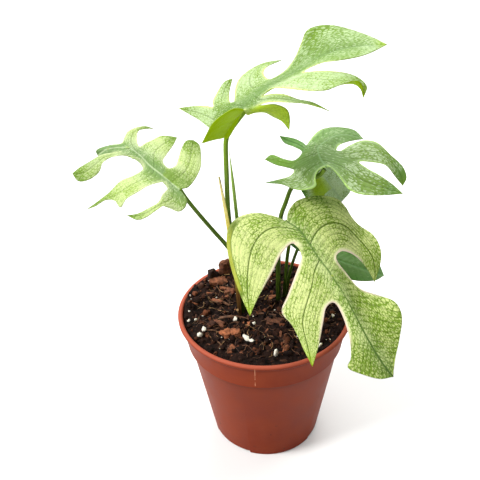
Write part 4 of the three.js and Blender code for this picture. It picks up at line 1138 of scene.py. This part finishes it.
# Each stalk: its route from the soil, and its radius at the foot and at the top.
STALKS = {
    "petiole_top": (((-15, 4, 98), (-19, 3, 142), (-22, 2, 179), (-22, 1, 208), (-21.8, 0.7, 226),
                     (-21.4, 1.7, 232), (-20.2, 2.4, 236), (-18.1, 1.6, 239.7), (-15.4, 0.4, 244.1),
                     (-12.7, -0.6, 248.3), (-10.4, -2.2, 252), (-9.2, -4, 255.6)), 1.9, 1.4),
    "petiole_left": (((-17, 10, 98), (-17, 9.5, 120), (-19, 9, 140), (-24.3, 8, 151.6), (-32.3, 7, 163.9),
                      (-40.2, 5.5, 176.7), (-47.4, 3.5, 189.5), (-52, 2, 199)), 1.6, 1.3),
    "petiole_right": (((10, 13, 98), (10, 13, 128), (10.4, 13, 150), (11.7, 12.6, 170.2),
                       (14.9, 12.5, 181.4), (18.1, 12.2, 191.5), (21.5, 11.3, 196), (27, 10, 199),
                       (36, 8, 204), (39, 8, 208)), 1.9, 1.3),
    "petiole_front": (((14, 18, 98), (16, 12, 137), (17, 8, 151), (16, 1, 166), (15, -8, 180)), 1.3, 1.2),
    "petiole_back": (((34, 22, 98), (32, 22, 119), (28, 20, 139)), 1.2, 1.1),
    "petiole_under": (((16, 23, 98), (18.4, 23, 118), (21.3, 23.2, 130), (26, 24, 145),
                       (32, 26, 164), (36, 29, 184), (36.6, 29.6, 192)), 1.2, 1),
    "new_shoot": (((-13, 8, 98), (-17, 6, 177), (-20, 6, 224)), 1.8, 0.9),
}

# How much wider than its taper a stalk ends: the new shoot ends in a point.
SWELLINGS = {"petiole_top": 0.3, "new_shoot": -0.8}


def stalk_skin(name, colours):
    """Smooth green skin with faint streaks along it, darkened towards the soil by painted shade."""
    material, node = new_material(name)
    height = node("SeparateXYZ", [node("TexCoord", output="Object")], "Z")
    height = node("MapRange", [height, 0.1, 0.25])
    streaks = node("Mapping", {"Vector": node("UVMap", uv_map="flow"), "Scale": (1.6, 0.05, 1)})
    streak = node("TexNoise", {"Vector": streaks, "Scale": 1, "Detail": 3, "Roughness": 0.6})
    paler = node("MapRange", [streak, 0.5, 0.75, 0, 0.5])
    colour = node("ValToRGB", [height], stops=colours)
    node("OutputMaterial", [node("BsdfPrincipled", {
        "Base Color": node("Mix", {0: paler, 6: colour, 7: linear("#9db83e")}, 2, data_type="RGBA"),
        "Roughness": 0.4,
        "IOR": 1.43,
        "Specular IOR Level": 0.2,
        "Normal": node("Bump", {"Height": streak, "Strength": 0.25, "Distance": 0.0003}),
    })])
    return material


# Both ramps darken towards the soil as painted shade, where the low stalks stand under the leaves.
grown = stalk_skin("smooth_green_stalk", (
    (0, "#1a280a"), (0.3, "#3a5212"), (0.7, "#526e14"), (1, "#688612"),
))
young = stalk_skin("young_green_shoot", ((0, "#3c5a1c"), (0.4, "#6d8f30"), (1, "#9dba5c")))
for name, (route, foot, top) in STALKS.items():
    x, y, z = route[0]
    spans = smooth_spans([(x, y, z - STALK_DEPTH), *route])
    length = sum(lengths_along(span)[-1] for span in spans)
    points = even_points(spans, round(length / STALK_STEP))

    def radius_at(share):
        """A slow taper up to the stalk's end, where it swells or comes to a point."""
        swelling = SWELLINGS.get(name, 0.15) * smoothstep(share, 0.8 if name in SWELLINGS else 0.93, 1)
        return foot + (top - foot) * share + swelling * top

    stalk = bmesh.new()
    add_tube(stalk, points, radius_at, STALK_SIDES)
    bmesh.ops.recalc_face_normals(stalk, faces=stalk.faces)
    piece = add_piece(f"{name}_stalk", stalk, [young if name == "new_shoot" else grown], sharp_degrees=50)
    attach(piece, "root")
    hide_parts(name)

# ---------------- sheath
# The papery leaf base that once wrapped the shoot. It has dried to straw yellow, is brown at
# its foot, and stands open beside the stalks as a thin gutter that ends in a point.

SHEATH_COLUMNS = 16
SHEATH_ROWS = 80
SHEATH_GIRTH = 8
SHEATH_LENGTH = 113
SHEATH_RIBS = 5
RIB_HEIGHT = 0.12
RAGGED_SHARE = 0.12
SHEATH_EDGE = Vector((0.75, -0.66, 0))
SHEATH_OUT = Vector((-0.66, -0.75, 0))

# The gutter's middle line, its half width and how hollow it is.
SHEATH = (
    ((-17.4, -1, 96), 2, 1), ((-18.2, -2, 120), 2.2, 1.1), ((-19.4, -3, 142), 2.4, 1.1),
    ((-21.2, -3, 162), 2.2, 0.9), ((-23.3, -2, 182), 1.7, 0.5), ((-25.2, -1.5, 198), 1.1, 0.2),
    ((-26.6, -1, 209), 0.4, 0),
)
middles = even_points(smooth_spans([middle for middle, _, _ in SHEATH]), SHEATH_ROWS)


def sheath_size(height):
    """The half width and the hollow at a height, between the two nearest entries."""
    for (low, wide, deep), (high, wide_above, deep_above) in zip(SHEATH, SHEATH[1:]):
        if height <= high[2]:
            share = max((height - low[2]) / (high[2] - low[2]), 0)
            return wide + (wide_above - wide) * share, deep + (deep_above - deep) * share
    return wide_above, deep_above


gutter = bmesh.new()
flow_layer = gutter.loops.layers.uv.new("flow")
verts = bmesh.ops.create_grid(gutter, x_segments=SHEATH_COLUMNS, y_segments=SHEATH_ROWS, size=0.5)["verts"]
for face in gutter.faces:
    for loop in face.loops:
        loop[flow_layer].uv = (SHEATH_GIRTH * loop.vert.co.x, SHEATH_LENGTH * loop.vert.co.y)
for vert in verts:
    across = 2 * vert.co.x
    middle = middles[round((vert.co.y + 0.5) * SHEATH_ROWS)]
    half, hollow = sheath_size(middle.z)
    ragged = 1 - RAGGED_SHARE * abs(noise.noise(Vector((across, middle.z / 5, 3)))) * abs(across)
    ridges = RIB_HEIGHT * math.cos(across * SHEATH_RIBS * math.pi)
    vert.co = (middle + SHEATH_EDGE * (across * half * ragged)
               + SHEATH_OUT * (0.4 + ridges - hollow * across ** 2))
gutter.normal_update()
if sum(face.normal.dot(SHEATH_OUT) for face in gutter.faces) < 0:
    bmesh.ops.reverse_faces(gutter, faces=gutter.faces)

# Dry papery skin: straw yellow with fine ribs along it, brown towards the soil.
papery, node = new_material("dry_papery_sheath")
height = node("SeparateXYZ", [node("TexCoord", output="Object")], "Z")
height = node("MapRange", [height, 0.1, 0.2])
ribs = node("Mapping", {"Vector": node("UVMap", uv_map="flow"), "Scale": (2.2, 0.06, 1)})
rib = node("TexNoise", {"Vector": ribs, "Scale": 1, "Detail": 4, "Roughness": 0.6})
darker = node("MapRange", [rib, 0.52, 0.75, 0, 0.4])
colour = node("ValToRGB", [height], stops=(
    (0, "#38200f"), (0.18, "#6f4a20"), (0.34, "#94862c"),
    (0.55, "#c3b83c"), (0.75, "#e0d364"), (1, "#f2eab0"),
))
colour = node("Mix", {0: darker, 6: colour, 7: linear("#9c8a2c")}, 2, data_type="RGBA")
husk = node("BsdfPrincipled", {
    "Base Color": colour,
    "Roughness": 0.6,
    "IOR": 1.45,
    "Specular IOR Level": 0.3,
    "Normal": node("Bump", {"Height": rib, "Strength": 0.5, "Distance": 0.0004}),
})
through = node("BsdfTranslucent", {"Color": colour})
node("OutputMaterial", [node("MixShader", [0.35, husk, through])])
sheath = add_piece("papery_sheath", gutter, [papery], sharp_degrees=60)
body = sheath.modifiers.new("body", "SOLIDIFY")
body.thickness = BLADE * MM
body.offset = -1
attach(sheath, "root")
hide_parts("cataphyll")
